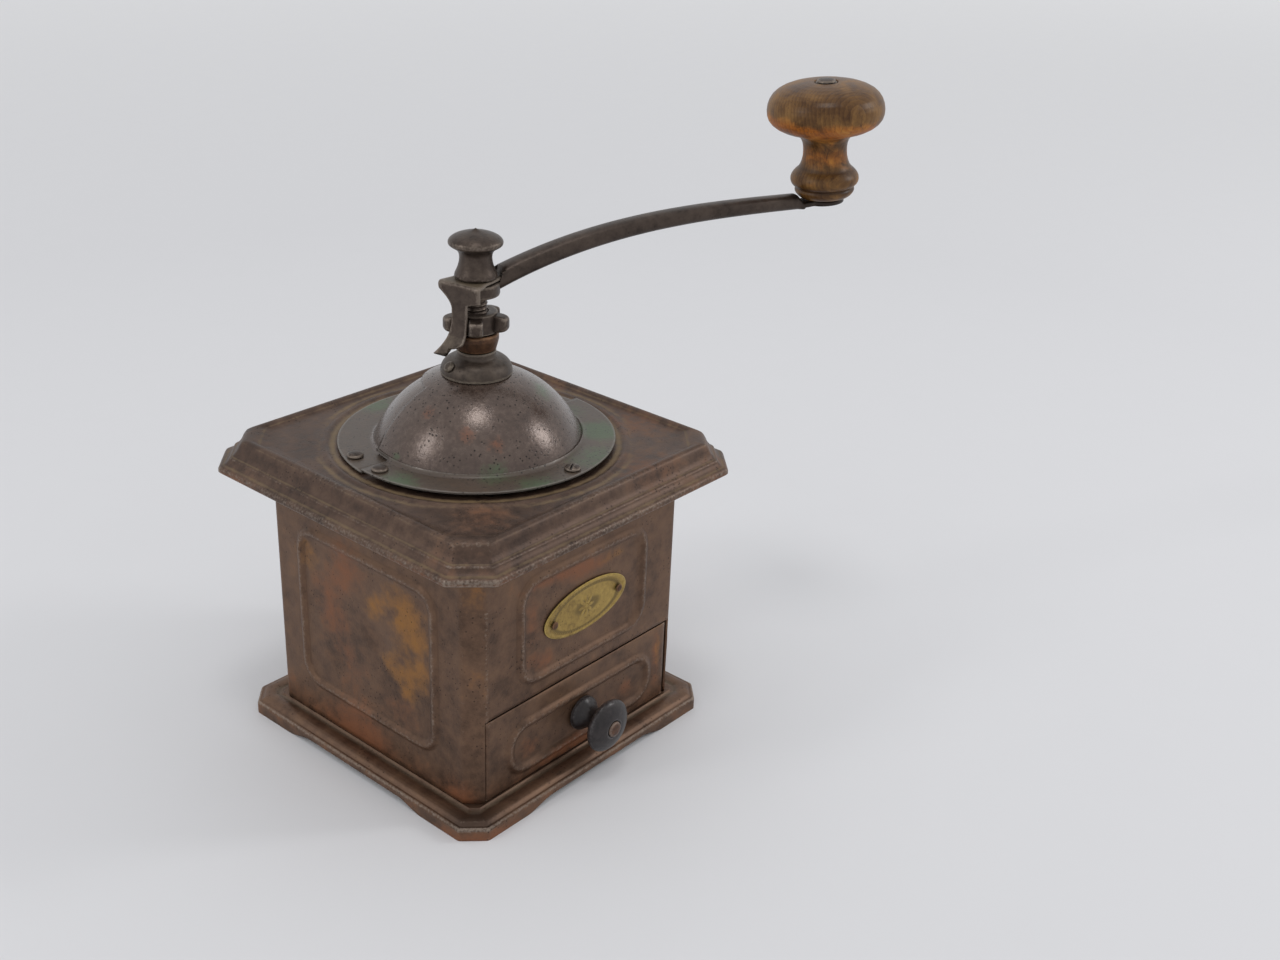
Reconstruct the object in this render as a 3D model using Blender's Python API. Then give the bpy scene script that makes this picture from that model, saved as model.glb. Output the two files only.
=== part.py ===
"""A hand cranked spice mill of stamped sheet steel, with a domed hopper, a wooden
crank knob and a drawer for the ground spice.

Metres, +Z up. Every maker works round the spindle, which stands on its Z axis over
the table, and the drawer opens towards -Y. At the end everything moves together, so
that the origin lies on the table under the middle of the whole object's box.
"""

import math

import bmesh
import bpy
from mathutils import Matrix, Vector

# Clearances and sheet
GAP = 0.0003            # between pieces that touch or slide on each other
SHEET = 0.0009          # steel sheet of the case, the cover and the base
MITRE = 2 - math.sqrt(2)  # by how much a cut corner's leg shortens per unit of inward offset
THIN_SHEET = 0.0007     # tinplate of the hopper door, the drawer and the rails

# Base
BASE_LEDGE = 0.00755    # how far the tray stands out past the case, all round
BASE_CHAMFER = 0.0060
BASE_HEIGHT = 0.0053
SKIRT_HEIGHT = 0.0037
FOOT_LENGTH = 0.0150
SCALLOP_DEPTH = 0.0021
BASE_RIM_WIDTH = 0.0026
GROOVE_OFFSET = 0.0018  # from the case's wall to the middle of the groove round it
GROOVE_HALF = 0.0012
GROOVE_DEPTH = 0.0005

# Case
BODY_SIDE = 0.0884
BODY_CHAMFER = 0.0046
BODY_HEIGHT = 0.0858
BEAD_WIDTH = 0.0034
BEAD_HEIGHT = 0.0009
BEAD_CORNER = 0.0050
PANEL_MARGIN = 0.0156   # from the case's edge to the middle of a side panel's bead
PANEL_BOTTOM = 0.0178
PANEL_TOP_MARGIN = 0.0224        # from the case's top edge
FRONT_PANEL_MARGIN = 0.0184
FRONT_PANEL_BOTTOM = 0.0385
FRONT_PANEL_TOP_MARGIN = 0.0209

# Cover
COVER_OVERHANG = 0.01305
COVER_CHAMFER = 0.0094
COVER_DROP = 0.0083
CORNICE_WIDTH = 0.0096
RIM_RISE = 0.0012
RING_MARGIN = 0.0032    # from the dome's flange to the middle of the ring round it
RING_WIDTH = 0.0026
RING_HEIGHT = 0.0005
HOPPER_MOUTH_INSET = 0.0018      # from the dome's foot to the mouth's edge

# Dome, its door and what fastens them
DOME_BASE_RADIUS = 0.0310
DOME_BULGE = 0.0026     # by how much the dome's sphere is wider than its foot
DOME_SHEET = 0.0008
DOME_FILLET = 0.0012
FLANGE_WIDTH = 0.0098
DOME_CAP_MARGIN = 0.0056         # how far the whole cap reaches out past the collar
DOOR_LAP = 0.0012       # how far the door's shell runs in under the dome's cap
DOME_SHELL_START = math.radians(160.0)
DOME_FRONT_START = math.radians(174.5)
DOME_FRONT_END = math.radians(357.0)
DOOR_START = math.radians(-6.0)
DOOR_SHELL_END = math.radians(178.5)
DOOR_FLANGE_END = math.radians(173.6)
DOOR_RING_RADIUS = 0.0115
RIVET_SHANK_RADIUS = 0.0011
RIVET_HEAD_RADIUS = 0.0024
RIVET_HEAD_HEIGHT = 0.0010
RIVET_TAIL = 0.0006
SCREW_SLOT_WIDTH = 0.0007
SCREW_SLOT_DEPTH = 0.0006
FASTENER_INSET = 0.0036          # from the flange's edge to its rivets and screw
SEAT_RADIUS = 0.0020
DOME_RIVET_HEADING = math.radians(180.3)
DOME_SCREW_HEADING = math.radians(272.0)
DOOR_RIVET_HEADING = math.radians(159.0)

# Collar, bearing and adjuster
COLLAR_FOOT_RADIUS = 0.0104
COLLAR_NECK_RADIUS = 0.0057
COLLAR_HEIGHT = 0.00631
COLLAR_NECK_HEIGHT = 0.0012
COLLAR_PIN_RISE = math.radians(39.0)    # how far up the collar's round flank its pins sit
COLLAR_PIN_HEADING = math.radians(171.0)
COLLAR_PIN_HEAD_RADIUS = 0.0017
COLLAR_PIN_RADIUS = 0.0009
COLLAR_PIN_LENGTH = 0.0026
COLLAR_PIN_SINK = 0.0003
BUSH_WALL = 0.0010
BUSH_FLANGE_WIDTH = 0.0016
BUSH_FLANGE_THICKNESS = 0.0009
SLEEVE_RADIUS = 0.0062
SLEEVE_HEIGHT = 0.0050
NUT_RADIUS = 0.0061
NUT_HEIGHT = 0.0060
LOBE_REACH = 0.0097
LOBE_HALF_ANGLE = math.radians(15.0)
LOBES = 5
LIFT_ROOM = 0.0045      # free shaft between the star nut and the crank
SLEEVE_EDGE = 0.0004

# Spindle, crank and handle
SHAFT_RADIUS = 0.0033
SQUARE_SIDE = 0.0044
THREAD_RADIUS = 0.0021
THREAD_LENGTH = 0.0060
HUB_RADIUS = 0.0068
HUB_HEIGHT = 0.0038
EDGE_BREAK = 0.0005     # small bevels on the spindle's foot and the crank's hub
ARM_HEADING = math.radians(-22.0)
CRANK_RADIUS = 0.1155
ARM_RISE = 0.0140
ARM_WIDTH = 0.0056
ARM_HEIGHT = 0.0046
ARM_TIP_WIDTH = 0.0044
ARM_TIP_HEIGHT = 0.0034
TAB_LENGTH = 0.0092
TAB_WIDTH = 0.0086
TAB_THICKNESS = 0.0018
KNOB_LEAN = math.radians(5.0)
LEAF_HEADING = math.radians(190.0)
LEAF_THICKNESS = 0.0007
LEAF_HEAD_WIDTH = 0.0118
LEAF_WIDTH = 0.0050
LEAF_DROP = 0.0200
LEAF_CURL = 0.0050
LEAF_BEND_RADIUS = 0.0016
LEAF_NECK_DROP = 0.0050
LEAF_SWAY = 0.0034      # how far the tip swings to the left
LEAF_TWIST = 0.0022
LEAF_STEM = 0.0008
TOP_NUT_HEIGHT = 0.0140
TOP_NUT_BASE_RADIUS = 0.0061
TOP_NUT_WAIST_RADIUS = 0.0046
TOP_NUT_DISC_RADIUS = 0.0078
PIN_RADIUS = 0.0020
HANDLE_HEIGHT = 0.0350
HANDLE_CAP_RADIUS = 0.0179
HANDLE_WIDEST = 0.725    # how far up the knob its cap is widest
HANDLE_WAIST_RADIUS = 0.0066
HANDLE_BEAD_RADIUS = 0.0105
HANDLE_RECESS_RADIUS = 0.0035
WASHER_THICKNESS = 0.0006
PIN_HEAD_WIDTH = 0.0009
PIN_HEAD_HEIGHT = 0.0009
PIN_FOOT_HEIGHT = 0.0012

# Grinding works
BOWL_FLANGE_INSET = 0.0008       # from the edge of the dome's flange
BOWL_THROAT_MARGIN = 0.0014      # from the outer burr's edge
BOWL_DEPTH = 0.0220
BOWL_BEND = 0.0004
BURR_WALL = 0.0044      # at the outer burr's top
BURR_HEIGHT = 0.0236
BURR_BORE_TOP = 0.0166
BURR_BORE_BOTTOM = 0.0150
OUTER_TOOTH_DEPTH = 0.0012
OUTER_TEETH = 16
OUTER_TWIST = 0.35      # radians by which the outer teeth slant from bottom to top
CONE_HEIGHT = 0.0200
CONE_LIFT = 0.0016      # how high the cone's foot stands over the outer burr's foot
BURR_GAP = 0.0014       # between the teeth of the two burrs, at the cone's foot
CONE_TOP_RADIUS = 0.0076
CONE_TOOTH_DEPTH = 0.0014
CONE_TEETH = 11
CONE_TWIST = math.radians(55.0)
CONE_HUB_HEIGHT = 0.0060
BRIDGE_WIDTH = 0.0090
BRIDGE_THICKNESS = 0.0025
SHAFT_STUB = 0.0010     # how far the spindle reaches out under the bridge
WORKS_SCREW_RADIUS = 0.0012
WORKS_SCREW_HEAD_RADIUS = 0.0021
WORKS_SCREW_HEAD_HEIGHT = 0.0012
WORKS_SCREW_DEPTH = 0.0055
CROSS_PIN_RADIUS = 0.0011

# Drawer
DRAWER_MARGIN = 0.0054   # from the case's edge to the drawer's front, on each side
DRAWER_FRONT_HEIGHT = 0.0264
DRAWER_FRONT_THICKNESS = 0.0012
DRAWER_OFFSET = -0.0005  # the front sits a little to the left, with a wider gap on the right
DRAWER_RISE = 0.0004     # how far the drawer's underside clears the base plate
DRAWER_BOX_STEP = 0.0013 # by how much the box is narrower than its front, on each side
DRAWER_BACK_ROOM = 0.0060
DRAWER_BOX_DROP = 0.0019 # by how much the box is lower than its front
DRAWER_PANEL_MARGIN = 0.0088
DRAWER_PANEL_HEIGHT = 0.0150
DRAWER_PANEL_RISE = 0.0118
DRAWER_RIGHT_GAP = 0.0022
RAIL_DROP = 0.0070
RAIL_REACH = 0.0070
RAIL_SHARE = 0.92        # of the drawer's depth
PULL_DISC_RADIUS = 0.0083
PULL_FOOT_RADIUS = 0.0054
PULL_NECK_RADIUS = 0.0030
PULL_LENGTH = 0.0135
PULL_SCREW_RADIUS = 0.0014
PULL_SCREW_HEAD_RADIUS = 0.0024
PULL_SCREW_HEAD_HEIGHT = 0.0011
PULL_NUT_SIDE = 0.0056
PULL_NUT_THICKNESS = 0.0020
PULL_SCREW_TAIL = 0.0010

# Name plate, left bare
LABEL_WIDTH = 0.0345
LABEL_HEIGHT = 0.0152
LABEL_THICKNESS = 0.0005
LABEL_CENTRE_X = 0.0002
LABEL_DROP = 0.0004     # below the middle of the front panel
LABEL_TILT = math.radians(3.0)
LABEL_PIN_SPACING = 0.0272
LABEL_PIN_RADIUS = 0.0008
LABEL_PIN_HEAD_HEIGHT = 0.0005

# Sides, heights and places that follow from the sizes above
BASE_SIDE = BODY_SIDE + 2 * BASE_LEDGE
COVER_SIDE = BODY_SIDE + 2 * COVER_OVERHANG
PANEL_WIDTH = BODY_SIDE - 2 * PANEL_MARGIN
FRONT_PANEL_WIDTH = BODY_SIDE - 2 * FRONT_PANEL_MARGIN
DRAWER_FRONT_WIDTH = BODY_SIDE - 2 * DRAWER_MARGIN
DRAWER_BOX_WIDTH = DRAWER_FRONT_WIDTH - 2 * DRAWER_BOX_STEP
DRAWER_PANEL_WIDTH = DRAWER_FRONT_WIDTH - 2 * DRAWER_PANEL_MARGIN
BODY_BOTTOM = BASE_HEIGHT + GAP
BODY_TOP = BODY_BOTTOM + BODY_HEIGHT
PANEL_TOP = BODY_TOP - PANEL_TOP_MARGIN
FRONT_PANEL_TOP = BODY_TOP - FRONT_PANEL_TOP_MARGIN
LABEL_CENTRE_Z = (FRONT_PANEL_BOTTOM + FRONT_PANEL_TOP) / 2 - LABEL_DROP
COVER_FLAT = BODY_TOP + GAP + SHEET
DOME_RADIUS = DOME_BASE_RADIUS + DOME_BULGE
FLANGE_RADIUS = DOME_BASE_RADIUS + FLANGE_WIDTH
RING_RADIUS = FLANGE_RADIUS + RING_MARGIN
HOPPER_MOUTH_RADIUS = DOME_BASE_RADIUS - HOPPER_MOUTH_INSET
FASTENER_CIRCLE = FLANGE_RADIUS - FASTENER_INSET
DOME_CAP_RADIUS = COLLAR_FOOT_RADIUS + DOME_CAP_MARGIN
DOOR_FLANGE_TOP = COVER_FLAT + GAP + THIN_SHEET
DOME_FLANGE_BOTTOM = DOOR_FLANGE_TOP + GAP
DOME_FLANGE_TOP = DOME_FLANGE_BOTTOM + DOME_SHEET
DOME_CENTRE = DOME_FLANGE_TOP - math.sqrt(DOME_RADIUS**2 - DOME_BASE_RADIUS**2)
DOME_INNER = DOME_RADIUS - DOME_SHEET
DOOR_OUTER = DOME_INNER - GAP
DOOR_INNER = DOOR_OUTER - THIN_SHEET
BORE_RADIUS = SHAFT_RADIUS + GAP
BUSH_RADIUS = BORE_RADIUS + BUSH_WALL
COLLAR_FOOT = DOME_CENTRE + math.sqrt(DOME_RADIUS**2 - COLLAR_FOOT_RADIUS**2) + 3 * GAP
COLLAR_TOP = COLLAR_FOOT + COLLAR_HEIGHT
COLLAR_RISE = COLLAR_HEIGHT - COLLAR_NECK_HEIGHT
COLLAR_INSET = COLLAR_FOOT_RADIUS - COLLAR_NECK_RADIUS
SLEEVE_BOTTOM = COLLAR_TOP + GAP
NUT_BOTTOM = SLEEVE_BOTTOM + SLEEVE_HEIGHT + GAP
NUT_TOP = NUT_BOTTOM + NUT_HEIGHT
SHOULDER = NUT_TOP + LIFT_ROOM
HUB_BOTTOM = SHOULDER + GAP
HUB_TOP = HUB_BOTTOM + HUB_HEIGHT
LEAF_BOTTOM = HUB_TOP + GAP
LEAF_TOP = LEAF_BOTTOM + LEAF_THICKNESS
TOP_NUT_BOTTOM = LEAF_TOP + GAP
BURR_RADIUS = BURR_BORE_TOP + BURR_WALL
CONE_BOTTOM_RADIUS = BURR_BORE_BOTTOM - BURR_GAP
CONE_HUB_RADIUS = CONE_TOP_RADIUS - CONE_TOOTH_DEPTH
BOWL_FLANGE_RADIUS = FLANGE_RADIUS - BOWL_FLANGE_INSET
BOWL_THROAT_RADIUS = BURR_RADIUS + BOWL_THROAT_MARGIN
BOWL_TOP = COVER_FLAT - SHEET - GAP
BOWL_LIP = BOWL_TOP - BOWL_DEPTH
BURR_TOP = BOWL_LIP - THIN_SHEET - GAP
BURR_BOTTOM = BURR_TOP - BURR_HEIGHT
BRIDGE_TOP = BURR_BOTTOM - GAP
BRIDGE_BOTTOM = BRIDGE_TOP - BRIDGE_THICKNESS
CONE_BOTTOM = BURR_BOTTOM + CONE_LIFT
SHAFT_BOTTOM = BRIDGE_BOTTOM - SHAFT_STUB
BURR_SCREW_CIRCLE = (BURR_RADIUS + BURR_BORE_TOP) / 2
BRIDGE_SCREW_CIRCLE = (BURR_RADIUS + BURR_BORE_BOTTOM) / 2
FRONT_Y = -BODY_SIDE / 2
DRAWER_BOTTOM = BASE_HEIGHT + DRAWER_RISE
DRAWER_FRONT_BACK = FRONT_Y + DRAWER_FRONT_THICKNESS
DRAWER_BOX_FRONT = DRAWER_FRONT_BACK + GAP
DRAWER_BOX_HEIGHT = DRAWER_FRONT_HEIGHT - DRAWER_BOX_DROP
DRAWER_BOX_DEPTH = -FRONT_Y - SHEET - DRAWER_BACK_ROOM - DRAWER_BOX_FRONT
DRAWER_CENTRE_Z = DRAWER_BOTTOM + DRAWER_PANEL_RISE
KNOB_REACH = CRANK_RADIUS - HANDLE_WIDEST * HANDLE_HEIGHT * math.sin(KNOB_LEAN)
SPINDLE_X = (COVER_SIDE / 2 - KNOB_REACH * math.cos(ARM_HEADING) - HANDLE_CAP_RADIUS) / 2
SPINDLE_Y = (HANDLE_CAP_RADIUS - KNOB_REACH * math.sin(ARM_HEADING) - COVER_SIDE / 2) / 2


def material(name, colour, roughness, metallic):
    """Make a Principled material from a linear colour."""
    made = bpy.data.materials.new(name)
    made.use_nodes = True
    shader = made.node_tree.nodes["Principled BSDF"]
    shader.inputs["Base Color"].default_value = (*colour, 1.0)
    shader.inputs["Roughness"].default_value = roughness
    shader.inputs["Metallic"].default_value = metallic
    made.diffuse_color = (*colour, 1.0)
    return made


def add_empty(name, location=(0, 0, 0), turn=(0, 0, 0), parent=None):
    """Add an empty that marks a joint's axis and carries the pieces that move on it."""
    empty = bpy.data.objects.new(name, None)
    bpy.context.scene.collection.objects.link(empty)
    empty.location = location
    empty.rotation_euler = turn
    empty.parent = parent
    return empty


def add_object(name, bm, mat=None, parent=None, location=(0, 0, 0), turn=(0, 0, 0), sharp=35):
    """Turn a bmesh into a named object with outward faces and smooth shading."""
    bmesh.ops.remove_doubles(bm, verts=bm.verts, dist=1e-7)
    bmesh.ops.dissolve_degenerate(bm, edges=bm.edges, dist=1e-8)
    bmesh.ops.recalc_face_normals(bm, faces=bm.faces)
    mesh = bpy.data.meshes.new(name)
    bm.to_mesh(mesh)
    bm.free()
    mesh.shade_smooth()
    mesh.set_sharp_from_angle(angle=math.radians(sharp))
    obj = bpy.data.objects.new(name, mesh)
    bpy.context.scene.collection.objects.link(obj)
    obj.parent = parent
    obj.location = location
    obj.rotation_euler = turn
    if mat is not None:
        mesh.materials.append(mat)
    return obj


def turned(name, profile, mat=None, steps=32, sweep=math.tau, start=0.0, **placing):
    """Spin a closed outline of (radius, height) points about the Z axis."""
    bm = bmesh.new()
    points = [Vector((r * math.cos(start), r * math.sin(start), z)) for r, z in profile]
    verts = [bm.verts.new(p) for p in points]
    edges = [bm.edges.new((a, b)) for a, b in zip(verts, verts[1:])]
    if profile[0][0] > 0 or profile[-1][0] > 0:
        edges.append(bm.edges.new((verts[-1], verts[0])))
    bmesh.ops.spin(bm, geom=verts + edges, cent=(0, 0, 0), axis=(0, 0, 1), angle=sweep, steps=steps)
    bmesh.ops.remove_doubles(bm, verts=bm.verts, dist=1e-7)
    open_edges = [e for e in bm.edges if len(e.link_faces) == 1]
    if open_edges:
        bmesh.ops.holes_fill(bm, edges=open_edges, sides=0)
    return add_object(name, bm, mat, **placing)


def loft(name, rings, mat=None, closed=False, **placing):
    """Join rings of equal count with faces; cap both ends, or close the loop."""
    bm = bmesh.new()
    loops = [[bm.verts.new(p) for p in ring] for ring in rings]
    pairs = list(zip(loops, loops[1:]))
    if closed:
        pairs.append((loops[-1], loops[0]))
    for low, high in pairs:
        for i in range(len(low)):
            j = (i + 1) % len(low)
            bm.faces.new((low[i], low[j], high[j], high[i]))
    if not closed:
        bm.faces.new(reversed(loops[0]))
        bm.faces.new(loops[-1])
    return add_object(name, bm, mat, **placing)


def guide(obj):
    """Mark an object as a cutter or a guide, which the model leaves out."""
    obj.hide_render = True
    obj.display_type = "WIRE"
    return obj


def combine(obj, tool, operation="DIFFERENCE", solver="EXACT"):
    """Cut or join a guide with an object by a Boolean."""
    boolean = obj.modifiers.new(tool.name, "BOOLEAN")
    boolean.operation = operation
    boolean.solver = solver
    boolean.object = guide(tool)
    return obj


def round_guide(name, radius, low, high, steps=16, **placing):
    """A round rod from one height to another, as a guide."""
    profile = [(0, low), (radius, low), (radius, high), (0, high)]
    return guide(turned(name, profile, steps=steps, **placing))


def box_guide(name, corner_a, corner_b, **placing):
    """A square block between two corners, as a guide."""
    low = [min(a, b) for a, b in zip(corner_a, corner_b)]
    high = [max(a, b) for a, b in zip(corner_a, corner_b)]
    ring = [(low[0], low[1]), (high[0], low[1]), (high[0], high[1]), (low[0], high[1])]
    rings = [[Vector((x, y, z)) for x, y in ring] for z in (low[2], high[2])]
    return guide(loft(name, rings, **placing))


def plan(side, chamfer, z, per_side=2, height_at=None):
    """One ring round a square with cut corners, with evenly spaced points on each side.

    height_at gives a height for each place along a side, from -1 to 1.
    """
    half = side / 2
    reach = half - chamfer
    ring = []
    for quarter in range(4):
        turn = Matrix.Rotation(quarter * math.pi / 2, 3, "Z")
        for i in range(per_side):
            share = 2 * i / (per_side - 1) - 1
            height = height_at(share) if height_at else z
            ring.append(turn @ Vector((reach * share, -half, height)))
    return ring


def circle_like(ring, radius, z):
    """A circle whose points face the points of another ring."""
    headings = [math.atan2(p.y, p.x) for p in ring]
    return [Vector((radius * math.cos(a), radius * math.sin(a), z)) for a in headings]


def rounded_outline(width, height, corner, steps=4):
    """Points round a rectangle with rounded corners, anticlockwise."""
    points = []
    for quarter, (sx, sy) in enumerate(((1, -1), (1, 1), (-1, 1), (-1, -1))):
        centre = Vector((sx * (width / 2 - corner), sy * (height / 2 - corner)))
        for i in range(steps + 1):
            angle = (quarter - 1 + i / steps) * math.pi / 2
            points.append(centre + corner * Vector((math.cos(angle), math.sin(angle))))
    return points


def bead_guide(name, width, height, **placing):
    """A raised round-topped bead along a rounded rectangle, lying in its XY plane."""
    half = BEAD_WIDTH / 2
    section = [(-half, -SHEET / 2), (half, -SHEET / 2), (half * 0.6, BEAD_HEIGHT * 0.75),
               (0, BEAD_HEIGHT), (-half * 0.6, BEAD_HEIGHT * 0.75)]
    corner = BEAD_CORNER + half
    rings = []
    for offset, rise in section:
        outline = rounded_outline(width + 2 * offset, height + 2 * offset, corner - half + offset)
        rings.append([Vector((p.x, p.y, rise)) for p in outline])
    return guide(loft(name, rings, closed=True, **placing))


def at(radius, heading, z):
    """A point at a radius and a heading round the spindle."""
    return (radius * math.cos(heading), radius * math.sin(heading), z)


def make_base(mat):
    """The stamped tray: a scalloped skirt between corner feet, and a ledge round the case."""
    half_reach = BASE_SIDE / 2 - BASE_CHAMFER
    foot_share = 1 - FOOT_LENGTH / half_reach

    def scallop(share):
        run = (foot_share - abs(share)) / (foot_share * 0.34)
        blend = min(max(run, 0.0), 1.0)
        return SCALLOP_DEPTH * (3 - 2 * blend) * blend * blend

    per_side = 13
    crest = BASE_HEIGHT
    groove_side = BODY_SIDE + 2 * GROOVE_OFFSET
    outer = [plan(BASE_SIDE, BASE_CHAMFER, 0, per_side, scallop)]
    for share, rise in ((0.0, 0.0), (0.2, 0.44), (0.58, 0.81), (1.0, 1.0)):
        inset = BASE_RIM_WIDTH * share
        z = SKIRT_HEIGHT + (crest - SKIRT_HEIGHT) * rise
        outer.append(plan(BASE_SIDE - 2 * inset, BASE_CHAMFER - inset * MITRE, z, per_side))
    for extra, z in ((GROOVE_HALF, crest), (0.0, crest - GROOVE_DEPTH), (-GROOVE_HALF, crest)):
        outer.append(plan(groove_side + 2 * extra, BODY_CHAMFER + GROOVE_OFFSET * MITRE, z, per_side))
    inner = [plan(BASE_SIDE - 2 * SHEET, BASE_CHAMFER - SHEET * MITRE, 0, per_side, scallop)]
    for inset, z in ((SHEET, SKIRT_HEIGHT - SHEET / 4), (SHEET + BASE_RIM_WIDTH / 2, crest - SHEET)):
        inner.append(plan(BASE_SIDE - 2 * inset, BASE_CHAMFER - inset * MITRE, z, per_side))
    return loft("base_plate", list(reversed(inner)) + outer, mat)


def make_body(mat):
    """The folded case: four walls with cut corners, beaded panels and the drawer's cut-out."""
    inner_side = BODY_SIDE - 2 * SHEET
    inner_chamfer = BODY_CHAMFER - SHEET * MITRE
    rings = [plan(BODY_SIDE, BODY_CHAMFER, BODY_BOTTOM), plan(BODY_SIDE, BODY_CHAMFER, BODY_TOP),
             plan(inner_side, inner_chamfer, BODY_TOP), plan(inner_side, inner_chamfer, BODY_BOTTOM)]
    body = loft("body_shell", rings, mat, closed=True)
    panels = (("front", 0, FRONT_PANEL_WIDTH, FRONT_PANEL_BOTTOM, FRONT_PANEL_TOP),
              ("right", 90, PANEL_WIDTH, PANEL_BOTTOM, PANEL_TOP),
              ("back", 180, PANEL_WIDTH, PANEL_BOTTOM, PANEL_TOP),
              ("left", 270, PANEL_WIDTH, PANEL_BOTTOM, PANEL_TOP))
    for side, heading, width, low, high in panels:
        angle = math.radians(heading)
        place = Matrix.Rotation(angle, 3, "Z") @ Vector((0, -BODY_SIDE / 2, (low + high) / 2))
        bead = bead_guide(f"bead_{side}", width, high - low, location=place,
                          turn=(math.pi / 2, 0, angle))
        combine(body, bead, "UNION")
    left = DRAWER_OFFSET - DRAWER_FRONT_WIDTH / 2 - GAP
    right = DRAWER_OFFSET + DRAWER_FRONT_WIDTH / 2 + DRAWER_RIGHT_GAP
    top = DRAWER_BOTTOM + DRAWER_FRONT_HEIGHT + 2 * GAP
    reach = 4 * SHEET
    opening = box_guide("drawer_opening", (left, FRONT_Y - reach, BODY_BOTTOM - reach),
                        (right, FRONT_Y + reach, top))
    combine(body, opening)
    return body


def make_cover(mat):
    """The stamped cover: an ogee cornice, a flat top with a raised ring, and the hopper's mouth."""
    per_side = 9
    flat = COVER_FLAT
    lip = flat - COVER_DROP
    under = flat - SHEET
    cornice = ((0.0, 0.0, 1.0), (0.0, 0.17, 1.0), (0.115, 0.31, 0.95), (0.30, 0.46, 0.85),
               (0.47, 0.65, 0.73), (0.59, 0.84, 0.71))
    rim = ((0.69, 0.6, 0.71), (0.79, 1.0, 0.76), (0.91, 0.7, 0.88), (1.0, 0.0, 0.98))
    lining = ((0.115, 0.0, 1.0), (0.125, 0.12, 1.0), (0.46, 0.385, 0.84), (0.60, 0.625, 0.72))

    def ring(inset, z, corner):
        return plan(COVER_SIDE - 2 * CORNICE_WIDTH * inset, COVER_CHAMFER * corner, z, per_side)

    outer = [ring(inset, lip + COVER_DROP * rise, corner) for inset, rise, corner in cornice]
    outer += [ring(inset, flat + RIM_RISE * rise, corner) for inset, rise, corner in rim]
    inner = [ring(inset, lip + COVER_DROP * rise, corner) for inset, rise, corner in lining]
    inner.append(ring(0.855, under, 0.74))
    seat = outer[-1]
    half_ring = RING_WIDTH / 2
    top_rings = [circle_like(seat, RING_RADIUS + half_ring, flat),
                 circle_like(seat, RING_RADIUS + half_ring * 0.4, flat + RING_HEIGHT),
                 circle_like(seat, RING_RADIUS - half_ring * 0.4, flat + RING_HEIGHT),
                 circle_like(seat, RING_RADIUS - half_ring, flat),
                 circle_like(seat, HOPPER_MOUTH_RADIUS, flat),
                 circle_like(seat, HOPPER_MOUTH_RADIUS, under)]
    cover = loft("top_cover", outer + top_rings + list(reversed(inner)), mat, closed=True)
    fastener_holes(cover, under - GAP, flat + GAP)
    return cover


def fastener_holes(obj, low, high, solver="EXACT"):
    """Drill the two clearance holes for the dome's rivet and screw."""
    for label, heading in (("rivet", DOME_RIVET_HEADING), ("screw", DOME_SCREW_HEADING)):
        hole = round_guide(f"{obj.name}_{label}_hole", RIVET_SHANK_RADIUS + GAP, low, high, steps=8,
                           location=at(FASTENER_CIRCLE, heading, 0))
        combine(obj, hole, solver=solver)


def sphere_arc(radius, low_radius, high_radius, steps):
    """Points up a sphere about the dome's centre, between two radii from the axis."""
    low = math.acos(low_radius / radius)
    high = math.acos(high_radius / radius)
    angles = [low + (high - low) * i / steps for i in range(steps + 1)]
    return [(radius * math.cos(a), DOME_CENTRE + radius * math.sin(a)) for a in angles]


def make_dome(mat):
    """The fixed shell of the hopper: a whole cap, and a front half with its flange."""
    fillet = DOME_FILLET
    inner_base = math.sqrt(DOME_INNER**2 - (DOME_FLANGE_BOTTOM - DOME_CENTRE)**2)
    profile = [(FLANGE_RADIUS, DOME_FLANGE_BOTTOM), (FLANGE_RADIUS, DOME_FLANGE_TOP),
               (DOME_BASE_RADIUS + fillet, DOME_FLANGE_TOP)]
    profile += sphere_arc(DOME_RADIUS, DOME_BASE_RADIUS - fillet * 0.5, BUSH_RADIUS + GAP, 6)
    profile += reversed(sphere_arc(DOME_INNER, inner_base, BUSH_RADIUS + GAP, 6))
    dome = turned("hopper_dome", profile, mat, steps=36)
    flange_foot = DOME_BASE_RADIUS + fillet * 0.2
    crown = DOME_CENTRE + DOME_RADIUS + SHEET
    low, clear = COVER_FLAT - SHEET, FLANGE_RADIUS * 1.2
    cuts = (("dome_flange_wedge", flange_foot, DOME_FLANGE_TOP + SHEET, DOME_FRONT_START),
            ("dome_shell_wedge", DOME_CAP_RADIUS, crown, DOME_SHELL_START))
    for name, inner, high, stop in cuts:
        outline = [(inner, low), (clear, low), (clear, high), (inner, high)]
        sweep = math.tau - (DOME_FRONT_END - stop)
        wedge = turned(name, outline, steps=20, sweep=sweep, start=DOME_FRONT_END)
        combine(dome, wedge, solver="MANIFOLD")
    for label, heading in (("rivet", DOME_RIVET_HEADING), ("screw", DOME_SCREW_HEADING)):
        seat = round_guide(f"dome_{label}_seat", SEAT_RADIUS, COVER_FLAT + GAP,
                           DOME_FLANGE_BOTTOM + DOME_SHEET / 2, steps=12,
                           location=at(FASTENER_CIRCLE, heading, 0))
        combine(dome, seat, "UNION", "MANIFOLD")
    fastener_holes(dome, COVER_FLAT, DOME_FLANGE_TOP + GAP, "MANIFOLD")
    return dome


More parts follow.
